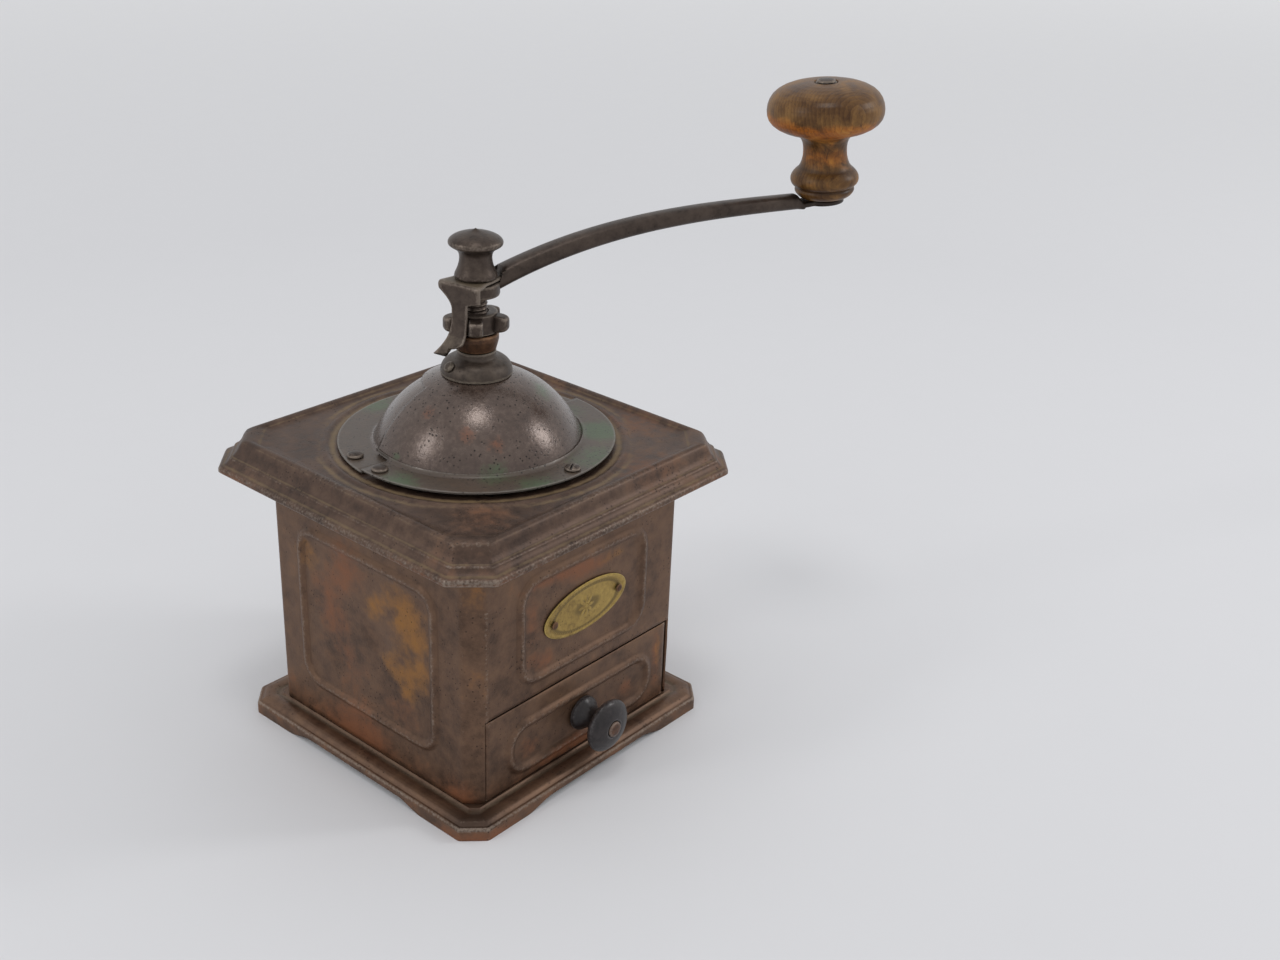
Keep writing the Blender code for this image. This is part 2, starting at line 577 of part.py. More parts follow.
def make_door(mat, parent):
    """The rear shell that turns under the fixed one, with its flange, top ring and thumb ear."""
    flange_low = COVER_FLAT + GAP
    foot = math.sqrt(DOOR_OUTER**2 - (DOOR_FLANGE_TOP - DOME_CENTRE)**2)
    inner_foot = math.sqrt(DOOR_INNER**2 - (flange_low - DOME_CENTRE)**2)
    shell = sphere_arc(DOOR_OUTER, foot, DOOR_RING_RADIUS, 6)
    shell += reversed(sphere_arc(DOOR_INNER, inner_foot, DOOR_RING_RADIUS, 6))
    door = turned("hopper_door", shell, mat, steps=36, parent=parent)
    low, high = COVER_FLAT - SHEET, DOME_CENTRE + DOME_RADIUS
    inner, clear = DOME_CAP_RADIUS - DOOR_LAP, FLANGE_RADIUS * 1.2
    wedge_profile = [(inner, low), (clear, low), (clear, high), (inner, high)]
    wedge = turned("door_wedge", wedge_profile, steps=20, start=DOOR_SHELL_END,
                   sweep=math.tau + DOOR_START - DOOR_SHELL_END)
    combine(door, wedge)
    flange_profile = [((foot + inner_foot) / 2, flange_low), (FLANGE_RADIUS - GAP, flange_low),
                      (FLANGE_RADIUS - GAP, DOOR_FLANGE_TOP), ((foot + inner_foot) / 2, DOOR_FLANGE_TOP)]
    flange = turned("door_flange", flange_profile, steps=24, start=DOOR_START,
                    sweep=DOOR_FLANGE_END - DOOR_START)
    combine(door, flange, "UNION")
    hole = round_guide("door_rivet_hole", RIVET_SHANK_RADIUS + GAP, flange_low - GAP,
                       DOOR_FLANGE_TOP + GAP, steps=8,
                       location=at(FASTENER_CIRCLE, DOOR_RIVET_HEADING, 0))
    combine(door, hole)
    return door


def rivet_profile(bottom, seat, head_radius=RIVET_HEAD_RADIUS, head_height=RIVET_HEAD_HEIGHT,
                  shank=RIVET_SHANK_RADIUS):
    """A domed head on a shank, from the foot of the shank up."""
    return [(0, bottom), (shank, bottom), (shank, seat), (head_radius, seat),
            (head_radius * 0.9, seat + head_height * 0.5), (head_radius * 0.5, seat + head_height * 0.92),
            (0, seat + head_height)]


def make_fasteners(mat, door_axis):
    """The two rivets and the slotted screw on the flanges of the dome and its door."""
    foot = BOWL_TOP - THIN_SHEET - RIVET_TAIL
    seat = DOME_FLANGE_TOP + GAP
    turned("dome_rivet", rivet_profile(foot, seat), mat, steps=8,
           location=at(FASTENER_CIRCLE, DOME_RIVET_HEADING, 0))
    screw = turned("dome_screw", rivet_profile(foot, seat), mat, steps=8,
                   location=at(FASTENER_CIRCLE, DOME_SCREW_HEADING, 0))
    slot_half, clear = SCREW_SLOT_WIDTH / 2, 2 * RIVET_HEAD_RADIUS
    slot = box_guide("dome_screw_slot", (-clear, -slot_half, seat + RIVET_HEAD_HEIGHT - SCREW_SLOT_DEPTH),
                     (clear, slot_half, seat + clear),
                     location=at(FASTENER_CIRCLE, DOME_SCREW_HEADING, 0), turn=(0, 0, 0.5))
    combine(screw, slot)
    turned("door_rivet", rivet_profile(COVER_FLAT + GAP, DOOR_FLANGE_TOP + GAP), mat, steps=8,
           parent=door_axis, location=at(FASTENER_CIRCLE, DOOR_RIVET_HEADING, 0))


def collar_point(rise):
    """Radius and height at an angle up the collar's round flank, a quarter ellipse."""
    return (COLLAR_NECK_RADIUS + COLLAR_INSET * math.cos(rise), COLLAR_FOOT + COLLAR_RISE * math.sin(rise))


def make_collar(mat, pin_mat, bush_mat):
    """The round shouldered collar on the dome, its flanged bush, and the pins that join the two."""
    bore = BUSH_RADIUS + GAP
    seat_radius = DOME_RADIUS + GAP
    under = [(r, DOME_CENTRE + math.sqrt(seat_radius**2 - r**2))
             for r in (bore, (bore + COLLAR_FOOT_RADIUS) / 2, COLLAR_FOOT_RADIUS)]
    side = [collar_point(i / 5 * math.pi / 2) for i in range(6)]
    edge = EDGE_BREAK * 0.4
    neck = [(COLLAR_NECK_RADIUS, COLLAR_TOP - edge), (COLLAR_NECK_RADIUS - edge, COLLAR_TOP)]
    profile = under + side + neck + [(bore, COLLAR_TOP)]
    collar = turned("collar", profile, mat, steps=24)
    tilt = math.atan2(math.cos(COLLAR_PIN_RISE) / COLLAR_INSET, math.sin(COLLAR_PIN_RISE) / COLLAR_RISE)
    radius, height = collar_point(COLLAR_PIN_RISE)
    radius -= COLLAR_PIN_SINK * math.sin(tilt)
    height -= COLLAR_PIN_SINK * math.cos(tilt)
    for i in range(3):
        heading = COLLAR_PIN_HEADING + i * math.tau / 3
        placing = {"location": at(radius, heading, height), "turn": (0, tilt, heading)}
        spot, hole = COLLAR_PIN_HEAD_RADIUS + GAP, COLLAR_PIN_RADIUS + GAP
        depth, clear = COLLAR_PIN_LENGTH + GAP, 2 * COLLAR_PIN_HEAD_RADIUS
        seat = [(0, -depth), (hole, -depth), (hole, 0), (spot, 0), (spot, clear), (0, clear)]
        combine(collar, turned(f"collar_seat_{i + 1}", seat, steps=12, **placing), solver="MANIFOLD")
        pin = rivet_profile(-COLLAR_PIN_LENGTH, GAP, COLLAR_PIN_HEAD_RADIUS, shank=COLLAR_PIN_RADIUS)
        turned(f"collar_pin_{i + 1}", pin, pin_mat, steps=8, **placing)
    lip = BUSH_RADIUS + BUSH_FLANGE_WIDTH
    lip_top = DOME_CENTRE + math.sqrt(DOME_INNER**2 - lip**2) - GAP
    lip_bottom = lip_top - BUSH_FLANGE_THICKNESS
    bush = [(BORE_RADIUS, lip_bottom), (lip, lip_bottom), (lip, lip_top), (BUSH_RADIUS, lip_top),
            (BUSH_RADIUS, COLLAR_TOP), (BORE_RADIUS, COLLAR_TOP)]
    turned("bearing_bush", bush, bush_mat, steps=20)


def make_adjuster(sleeve_mat, nut_mat, crank_axis):
    """The sleeve that carries the spindle, and the five lobed nut that sets the grind."""
    rim = SLEEVE_EDGE
    top = SLEEVE_BOTTOM + SLEEVE_HEIGHT
    sleeve = [(BORE_RADIUS, SLEEVE_BOTTOM), (SLEEVE_RADIUS - rim, SLEEVE_BOTTOM),
              (SLEEVE_RADIUS, SLEEVE_BOTTOM + rim), (SLEEVE_RADIUS, top - rim),
              (SLEEVE_RADIUS - rim, top), (BORE_RADIUS, top)]
    turned("thrust_sleeve", sleeve, sleeve_mat, steps=24, parent=crank_axis)
    count = 8 * LOBES
    first_lobe = LEAF_HEADING - ARM_HEADING + math.pi / LOBES

    def ring(share, z, hub):
        points = []
        for i in range(count):
            angle = first_lobe + math.tau * i / count
            off = (angle - first_lobe + math.pi / LOBES) % (math.tau / LOBES) - math.pi / LOBES
            lobe = max(0.0, 1 - (abs(off) / LOBE_HALF_ANGLE) ** 4) ** 0.5
            radius = hub + (LOBE_REACH - hub) * lobe * share
            points.append(Vector((radius * math.cos(angle), radius * math.sin(angle), z)))
        return points

    shape = ((0.0, 0.00, 0.95), (0.0, 0.12, 1.0), (0.88, 0.22, 1.0), (1.0, 0.36, 1.0),
             (1.0, 0.64, 1.0), (0.88, 0.78, 1.0), (0.0, 0.88, 1.0), (0.0, 1.00, 0.95))
    rings = [ring(share, NUT_BOTTOM + NUT_HEIGHT * level, NUT_RADIUS * hub) for share, level, hub in shape]
    rings += [circle_like(rings[0], BORE_RADIUS, NUT_TOP), circle_like(rings[0], BORE_RADIUS, NUT_BOTTOM)]
    loft("adjuster_nut", rings, nut_mat, closed=True, parent=crank_axis)


def make_shaft(mat, crank_axis):
    """The spindle: round in its bearings, square in the crank, threaded under the top nut."""
    thread_top = TOP_NUT_BOTTOM + THREAD_LENGTH
    profile = [(0, SHAFT_BOTTOM), (SHAFT_RADIUS - EDGE_BREAK, SHAFT_BOTTOM),
               (SHAFT_RADIUS, SHAFT_BOTTOM + EDGE_BREAK), (SHAFT_RADIUS, SHOULDER), (0, SHOULDER)]
    shaft = turned("main_shaft", profile, mat, steps=20, parent=crank_axis)
    half = SQUARE_SIDE / 2
    square = box_guide("shaft_square", (-half, -half, SHOULDER - LIFT_ROOM), (half, half, LEAF_TOP),
                       parent=crank_axis)
    combine(shaft, square, "UNION")
    thread = round_guide("shaft_thread", THREAD_RADIUS, SHOULDER - LIFT_ROOM / 2, thread_top, steps=20,
                         parent=crank_axis)
    combine(shaft, thread, "UNION")
    pin_z = CONE_BOTTOM + CONE_HEIGHT + CONE_HUB_HEIGHT / 2
    hole = round_guide("shaft_pin_hole", CROSS_PIN_RADIUS + GAP, -2 * SHAFT_RADIUS, 2 * SHAFT_RADIUS, steps=8,
                       location=(0, 0, pin_z), turn=(0, math.pi / 2, 0), parent=crank_axis)
    combine(shaft, hole)
    pin = [(0, -CONE_HUB_RADIUS), (CROSS_PIN_RADIUS, -CONE_HUB_RADIUS),
           (CROSS_PIN_RADIUS, CONE_HUB_RADIUS), (0, CONE_HUB_RADIUS)]
    turned("cross_pin", pin, mat, steps=12, location=(0, 0, pin_z), turn=(0, math.pi / 2, 0),
           parent=crank_axis)


def arm_height(radius):
    """Height of the arm's middle line: it leaves the hub steeply and ends level."""
    start, end = HUB_RADIUS * 0.7, CRANK_RADIUS - TAB_LENGTH
    share = min(max((radius - start) / (end - start), 0.0), 1.0)
    return HUB_BOTTOM + HUB_HEIGHT * 0.65 + ARM_RISE * (1 - (1 - share) ** 3)


def arm_section(radius, centre_z, width, height, slope):
    """A ring with rounded edges across the arm, square to its slope."""
    cut = 0.30
    outline = ((1, -cut), (1, cut), (cut, 1), (-cut, 1), (-1, cut), (-1, -cut), (-cut, -1), (cut, -1))
    along = Vector((-math.sin(slope), 0, math.cos(slope)))
    return [Vector((radius, 0, centre_z)) + Vector((0, y * width / 2, 0)) + along * (z * height / 2)
            for y, z in outline]


def make_crank(mat, crank_axis):
    """The forged crank: a round hub, a bowed tapering arm and a flat tab for the handle's pin."""
    edge = EDGE_BREAK
    hub = [(0, HUB_BOTTOM), (HUB_RADIUS - edge, HUB_BOTTOM), (HUB_RADIUS, HUB_BOTTOM + edge),
           (HUB_RADIUS, HUB_TOP - edge), (HUB_RADIUS - edge, HUB_TOP), (0, HUB_TOP)]
    crank = turned("crank_arm", hub, mat, steps=28, parent=crank_axis)
    tab_start = CRANK_RADIUS - TAB_LENGTH
    steps = 12
    rings = []
    for i in range(steps + 1):
        share = i / steps
        radius = HUB_RADIUS * 0.45 + (tab_start - HUB_RADIUS * 0.45) * share**1.25
        step = ARM_WIDTH / 10
        slope = math.atan2(arm_height(radius + step) - arm_height(radius - step), 2 * step)
        width = ARM_WIDTH + (ARM_TIP_WIDTH - ARM_WIDTH) * share
        height = ARM_HEIGHT + (ARM_TIP_HEIGHT - ARM_HEIGHT) * share
        rings.append(arm_section(radius, arm_height(radius), width, height, slope))
    tab_z = arm_height(tab_start)
    tab = ((TAB_LENGTH * 0.13, 0.92), (TAB_LENGTH * 0.5, 1.0), (TAB_LENGTH, 1.0),
           (TAB_LENGTH + TAB_WIDTH * 0.30, 0.80), (TAB_LENGTH + TAB_WIDTH * 0.46, 0.42))
    for run, share in tab:
        z = tab_z + run * math.sin(KNOB_LEAN)
        rings.append(arm_section(tab_start + run, z, TAB_WIDTH * share, TAB_THICKNESS, KNOB_LEAN))
    combine(crank, guide(loft("crank_bar", rings, parent=crank_axis)), "UNION")
    half = SQUARE_SIDE / 2 + GAP
    square = box_guide("crank_square", (-half, -half, HUB_BOTTOM - half), (half, half, HUB_TOP + 2 * half),
                       parent=crank_axis)
    combine(crank, square)
    clear = round_guide("crank_nut_room", TOP_NUT_BASE_RADIUS * 1.2, HUB_TOP, HUB_TOP + TOP_NUT_HEIGHT,
                        steps=28, parent=crank_axis)
    combine(crank, clear)
    pin_hole = round_guide("crank_pin_hole", PIN_RADIUS + GAP, -2 * PIN_RADIUS, 2 * PIN_RADIUS, steps=16,
                           location=handle_place(), turn=(0, -KNOB_LEAN, 0), parent=crank_axis)
    combine(crank, pin_hole)
    return crank


def handle_place():
    """Middle of the tab at the handle's pin, in the crank's own frame."""
    tab_start = CRANK_RADIUS - TAB_LENGTH
    return Vector((CRANK_RADIUS, 0, arm_height(tab_start) + TAB_LENGTH * math.sin(KNOB_LEAN)))


def make_leaf(mat, crank_axis):
    """The spring leaf: clamped under the top nut, bent down over the star nut, curled out below."""
    heading = LEAF_HEADING - ARM_HEADING
    bend_radius = LEAF_BEND_RADIUS
    inner = HUB_RADIUS + 2 * GAP
    middle = LEAF_BOTTOM + LEAF_THICKNESS / 2
    face = inner + LEAF_THICKNESS / 2
    back = TOP_NUT_BASE_RADIUS
    path = [(-back * 0.85, middle, LEAF_HEAD_WIDTH * 0.80, 0.0), (-back * 0.66, middle, LEAF_HEAD_WIDTH, 0.0),
            (face - bend_radius, middle, LEAF_HEAD_WIDTH, 0.0)]
    for i in (1, 2, 3):
        angle = i / 3 * math.pi / 2
        path.append((face - bend_radius + bend_radius * math.sin(angle),
                     middle - bend_radius + bend_radius * math.cos(angle), LEAF_HEAD_WIDTH, 0.0))
    shoulder = middle - bend_radius
    for i in range(1, 5):
        share = i / 4
        width = LEAF_WIDTH + (LEAF_HEAD_WIDTH - LEAF_WIDTH) * (1 - share) ** 2
        path.append((face, shoulder - LEAF_STEM - LEAF_NECK_DROP * share, width, 0.0))
    curl_start = shoulder - LEAF_STEM - LEAF_NECK_DROP
    curl_drop = LEAF_DROP - (middle - curl_start)
    for i in range(1, 10):
        share = i / 9
        out = LEAF_CURL * share**3
        side = LEAF_SWAY * share**3
        width = LEAF_WIDTH * (1 + 0.16 * share) if share < 0.95 else LEAF_WIDTH * 1.2
        path.append((face + out, curl_start - curl_drop * share, width, side))
    rings = []
    for i, (r, z, width, side) in enumerate(path):
        r0, z0 = path[max(i - 1, 0)][:2]
        r1, z1 = path[min(i + 1, len(path) - 1)][:2]
        along = Vector((r1 - r0, 0, z1 - z0)).normalized()
        across = Vector((along.z, 0, -along.x)) * (LEAF_THICKNESS / 2)
        skew = Vector((0, 0, LEAF_TWIST * (side / LEAF_SWAY) ** 2))
        centre = Vector((r, -side, z))
        left, right = Vector((0, -width / 2, 0)), Vector((0, width / 2, 0))
        rings.append([centre + left - across, centre + right - across + skew,
                      centre + right + across + skew, centre + left + across])
    leaf = loft("latch_leaf", rings, mat, turn=(0, 0, heading), parent=crank_axis)
    half = SQUARE_SIDE / 2 + GAP
    hole = box_guide("leaf_square", (-half, -half, LEAF_BOTTOM - half), (half, half, LEAF_TOP + half),
                     parent=crank_axis)
    combine(leaf, hole)
    return leaf


def make_top_nut(mat, crank_axis):
    """The waisted nut with its disc and pointed tip, on a blind bore."""
    low = TOP_NUT_BOTTOM
    tall = TOP_NUT_HEIGHT
    base, waist, disc = TOP_NUT_BASE_RADIUS, TOP_NUT_WAIST_RADIUS, TOP_NUT_DISC_RADIUS
    bore = THREAD_RADIUS + GAP
    side = [(base * 0.96, low), (base, low + tall * 0.03), (base * 0.97, low + tall * 0.09),
            (base * 0.84, low + tall * 0.17), (waist * 1.03, low + tall * 0.28),
            (waist, low + tall * 0.38), (waist * 1.03, low + tall * 0.48),
            (waist * 1.15, low + tall * 0.56), (disc * 0.80, low + tall * 0.61),
            (disc * 0.96, low + tall * 0.66), (disc, low + tall * 0.72), (disc * 0.94, low + tall * 0.79),
            (disc * 0.74, low + tall * 0.85), (disc * 0.40, low + tall * 0.90),
            (disc * 0.16, low + tall * 0.935), (disc * 0.09, low + tall * 0.97), (0, low + tall)]
    profile = [(0, low + THREAD_LENGTH + GAP), (bore, low + THREAD_LENGTH + GAP), (bore, low)] + side
    turned("top_nut", profile, mat, steps=22, parent=crank_axis)


def make_handle(wood, steel, crank_axis):
    """The turned wooden knob on its pin, square to the crank's leaning tab."""
    tilt = add_empty("handle_axis", handle_place(), (0, -KNOB_LEAN, 0), crank_axis)
    seat = TAB_THICKNESS / 2 + GAP
    tall, cap, waist, bead = HANDLE_HEIGHT, HANDLE_CAP_RADIUS, HANDLE_WAIST_RADIUS, HANDLE_BEAD_RADIUS
    bore = PIN_RADIUS + GAP
    recess = HANDLE_RECESS_RADIUS
    outline = [(bead * 0.70, 0.0), (bead * 0.80, 0.025), (bead * 0.86, 0.055), (bead * 0.83, 0.085),
               (bead * 0.93, 0.105), (bead, 0.145), (bead * 0.99, 0.185), (bead * 0.88, 0.225),
               (waist * 1.16, 0.27), (waist * 1.02, 0.34), (waist, 0.41), (waist * 1.06, 0.47),
               (waist * 1.25, 0.515), (cap * 0.62, 0.548), (cap * 0.84, 0.590), (cap * 0.96, 0.650),
               (cap, HANDLE_WIDEST), (cap * 0.965, 0.805), (cap * 0.86, 0.880), (cap * 0.68, 0.940),
               (cap * 0.44, 0.980), (recess + GAP, 0.998), (recess, 0.990)]
    side = [(r, seat + tall * share) for r, share in outline]
    profile = [(bore, seat)] + side + [(recess, seat + tall * 0.965), (bore, seat + tall * 0.965)]
    turned("handle_knob", profile, wood, steps=24, parent=tilt)
    washer_low = seat + tall * 0.965 + GAP
    washer_top = washer_low + WASHER_THICKNESS
    washer = [(bore, washer_low), (recess - GAP, washer_low), (recess - GAP, washer_top), (bore, washer_top)]
    turned("handle_washer", washer, steel, steps=14, parent=tilt)
    head_low = washer_top + GAP
    under, foot = -seat, -seat - PIN_FOOT_HEIGHT
    head = PIN_RADIUS + PIN_HEAD_WIDTH
    pin = [(0, foot), (head * 0.8, foot), (head, foot + PIN_FOOT_HEIGHT * 0.6), (head, under),
           (PIN_RADIUS, under), (PIN_RADIUS, head_low), (head, head_low),
           (head * 0.8, head_low + PIN_HEAD_HEIGHT * 0.67), (0, head_low + PIN_HEAD_HEIGHT)]
    turned("handle_pin", pin, steel, steps=14, parent=tilt)


def make_bowl(mat):
    """The funnel under the cover, which leads the spice into the burrs."""
    top, wall = BOWL_TOP, THIN_SHEET
    lip = BOWL_LIP
    mouth, throat = HOPPER_MOUTH_RADIUS, BOWL_THROAT_RADIUS - wall
    profile = [(BOWL_FLANGE_RADIUS, top - wall), (BOWL_FLANGE_RADIUS, top), (mouth + wall, top),
               (mouth, top - wall), (throat, lip + BOWL_BEND), (throat - BOWL_BEND, lip),
               (BURR_BORE_TOP, lip), (BURR_BORE_TOP, lip - wall), (BOWL_THROAT_RADIUS, lip - wall),
               (mouth + wall + BOWL_BEND, top - wall)]
    bowl = turned("hopper_bowl", profile, mat, steps=24)
    fastener_holes(bowl, top - wall - GAP, top + GAP)
    for i in range(2):
        heading = math.pi / 2 + math.pi * i
        hole = round_guide(f"bowl_screw_hole_{i + 1}", WORKS_SCREW_RADIUS + GAP, lip - wall - GAP,
                           lip + GAP, steps=8, location=at(BURR_SCREW_CIRCLE, heading, 0))
        combine(bowl, hole)


def toothed_ring(radius, depth, teeth, turn, z, per_tooth):
    """One ring of slanted saw teeth: each climbs slowly and falls steeply."""
    count = teeth * per_tooth
    points = []
    for i in range(count):
        share = (i % per_tooth) / per_tooth
        radial = radius - depth * (1 - share) if share else radius
        angle = turn + math.tau * i / count
        points.append(Vector((radial * math.cos(angle), radial * math.sin(angle), z)))
    return points


def make_burrs(mat, screw_mat, crank_axis):
    """The fixed outer ring with upright teeth and the turning cone with slanted ones."""
    levels = 4
    per_tooth = 3
    inside = []
    for i in range(levels + 1):
        share = i / levels
        radius = BURR_BORE_BOTTOM + (BURR_BORE_TOP - BURR_BORE_BOTTOM) * share
        inside.append(toothed_ring(radius + OUTER_TOOTH_DEPTH, OUTER_TOOTH_DEPTH, OUTER_TEETH,
                                   -OUTER_TWIST * share, BURR_BOTTOM + BURR_HEIGHT * share, per_tooth))
    headings = [math.tau * i / len(inside[0]) for i in range(len(inside[0]))]
    outside = [[Vector(at(BURR_RADIUS, heading - OUTER_TWIST * share, BURR_BOTTOM + BURR_HEIGHT * share))
                for heading in headings] for share in (1.0, 0.0)]
    outer = loft("outer_burr", inside + outside, mat, closed=True)
    for i in range(2):
        top_hole = round_guide(f"burr_top_hole_{i + 1}", WORKS_SCREW_RADIUS + GAP,
                               BURR_TOP - WORKS_SCREW_DEPTH - 2 * GAP, BURR_TOP + GAP, steps=8,
                               location=at(BURR_SCREW_CIRCLE, math.pi / 2 + math.pi * i, 0))
        low_hole = round_guide(f"burr_low_hole_{i + 1}", WORKS_SCREW_RADIUS + GAP, BURR_BOTTOM - GAP,
                               BURR_BOTTOM + WORKS_SCREW_DEPTH + 2 * GAP, steps=8,
                               location=at(BRIDGE_SCREW_CIRCLE, math.pi * i, 0))
        combine(outer, top_hole)
        combine(outer, low_hole)
        head, height = WORKS_SCREW_HEAD_RADIUS, WORKS_SCREW_HEAD_HEIGHT
        turned(f"burr_screw_{i + 1}",
               rivet_profile(BURR_TOP - WORKS_SCREW_DEPTH, BOWL_LIP + GAP, head, height, WORKS_SCREW_RADIUS),
               screw_mat, steps=8, location=at(BURR_SCREW_CIRCLE, math.pi / 2 + math.pi * i, 0))
        turned(f"bridge_screw_{i + 1}",
               rivet_profile(-BURR_BOTTOM - WORKS_SCREW_DEPTH, -BRIDGE_BOTTOM + GAP, head, height,
                             WORKS_SCREW_RADIUS),
               screw_mat, steps=8, location=at(BRIDGE_SCREW_CIRCLE, math.pi * i, 0), turn=(math.pi, 0, 0))
    cone_levels = 5
    rings = []
    per_cone_tooth = 4
    for i in range(cone_levels + 1):
        share = i / cone_levels
        radius = CONE_BOTTOM_RADIUS + (CONE_TOP_RADIUS - CONE_BOTTOM_RADIUS) * share
        rings.append(toothed_ring(radius, CONE_TOOTH_DEPTH, CONE_TEETH, CONE_TWIST * share,
                                  CONE_BOTTOM + CONE_HEIGHT * share, per_cone_tooth))
    hub_top = CONE_BOTTOM + CONE_HEIGHT + CONE_HUB_HEIGHT
    last = rings[-1]
    rings += [circle_like(last, CONE_HUB_RADIUS, CONE_BOTTOM + CONE_HEIGHT + GAP),
              circle_like(last, CONE_HUB_RADIUS, hub_top), circle_like(last, BORE_RADIUS, hub_top),
              circle_like(last, BORE_RADIUS, CONE_BOTTOM)]
    cone = loft("inner_burr", rings, mat, closed=True, parent=crank_axis)
    hole = round_guide("cone_pin_hole", CROSS_PIN_RADIUS + GAP, -CONE_TOP_RADIUS, CONE_TOP_RADIUS, steps=8,
                       location=(0, 0, hub_top - CONE_HUB_HEIGHT / 2), turn=(0, math.pi / 2, 0),
                       parent=crank_axis)
    combine(cone, hole)


def make_bridge(mat):
    """The bar across the outer burr that steadies the foot of the spindle."""
    length = 2 * BURR_RADIUS
    outline = rounded_outline(length, BRIDGE_WIDTH, BRIDGE_WIDTH * 0.49)
    rings = [[Vector((p.x, p.y, z)) for p in outline] for z in (BRIDGE_BOTTOM, BRIDGE_TOP)]
    bridge = loft("lower_bridge", rings, mat)
    combine(bridge, round_guide("bridge_bore", BORE_RADIUS, BRIDGE_BOTTOM - GAP, BRIDGE_TOP + GAP, steps=20))
    for i in range(2):
        hole = round_guide(f"bridge_hole_{i + 1}", WORKS_SCREW_RADIUS + GAP, BRIDGE_BOTTOM - GAP,
                           BRIDGE_TOP + GAP, steps=8, location=at(BRIDGE_SCREW_CIRCLE, math.pi * i, 0))
        combine(bridge, hole)


def make_rails(mat):
    """Two bent strips on the side walls that keep the open drawer from tipping."""
    wall = BODY_SIDE / 2 - SHEET - GAP
    low = DRAWER_BOTTOM + DRAWER_BOX_HEIGHT + 2 * GAP
    depth = DRAWER_BOX_DEPTH
    front = -(BODY_SIDE / 2 - BODY_CHAMFER - SHEET)
    for side, name in ((-1, "drawer_rail_left"), (1, "drawer_rail_right")):
        outline = [(wall - RAIL_REACH, low), (wall, low), (wall, low + RAIL_DROP),
                   (wall - THIN_SHEET, low + RAIL_DROP), (wall - THIN_SHEET, low + THIN_SHEET),
                   (wall - RAIL_REACH, low + THIN_SHEET)]
        rings = [[Vector((side * x, y, z)) for x, z in outline] for y in (front, front + depth * RAIL_SHARE)]
        loft(name, rings, mat)


def make_drawer(steel, tin, pull_mat, slide):
    """The drawer: a tin box, its beaded front, and the turned pull with its screw and nut."""
    half = DRAWER_FRONT_WIDTH / 2
    front = box_guide("front_blank", (DRAWER_OFFSET - half, FRONT_Y, DRAWER_BOTTOM),
                      (DRAWER_OFFSET + half, DRAWER_FRONT_BACK, DRAWER_BOTTOM + DRAWER_FRONT_HEIGHT),
                      parent=slide)
    front.name = "drawer_front"
    front.hide_render = False
    front.display_type = "TEXTURED"
    front.data.materials.append(steel)
    bead = bead_guide("bead_drawer", DRAWER_PANEL_WIDTH, DRAWER_PANEL_HEIGHT, parent=slide,
                      location=(0, FRONT_Y, DRAWER_CENTRE_Z), turn=(math.pi / 2, 0, 0))
    combine(front, bead, "UNION")
    box_half = DRAWER_BOX_WIDTH / 2
    wall = THIN_SHEET
    back = DRAWER_BOX_FRONT + DRAWER_BOX_DEPTH
    low, high = DRAWER_BOTTOM, DRAWER_BOTTOM + DRAWER_BOX_HEIGHT
    outer = [(-box_half, DRAWER_BOX_FRONT), (box_half, DRAWER_BOX_FRONT), (box_half, back), (-box_half, back)]
    inner = [(-box_half + wall, DRAWER_BOX_FRONT + wall), (box_half - wall, DRAWER_BOX_FRONT + wall),
             (box_half - wall, back - wall), (-box_half + wall, back - wall)]
    rings = [[Vector((x, y, low)) for x, y in outer], [Vector((x, y, high)) for x, y in outer],
             [Vector((x, y, high)) for x, y in inner], [Vector((x, y, low + wall)) for x, y in inner]]
    box = loft("drawer_box", rings, tin, parent=slide)
    for obj in (front, box):
        hole = round_guide(f"{obj.name}_screw_hole", PULL_SCREW_RADIUS + GAP, FRONT_Y - 4 * BEAD_HEIGHT,
                           DRAWER_BOX_FRONT + 4 * THIN_SHEET, steps=12, location=(0, 0, DRAWER_CENTRE_Z),
                           turn=(-math.pi / 2, 0, 0), parent=slide)
        combine(obj, hole)
    make_pull(pull_mat, steel, slide)


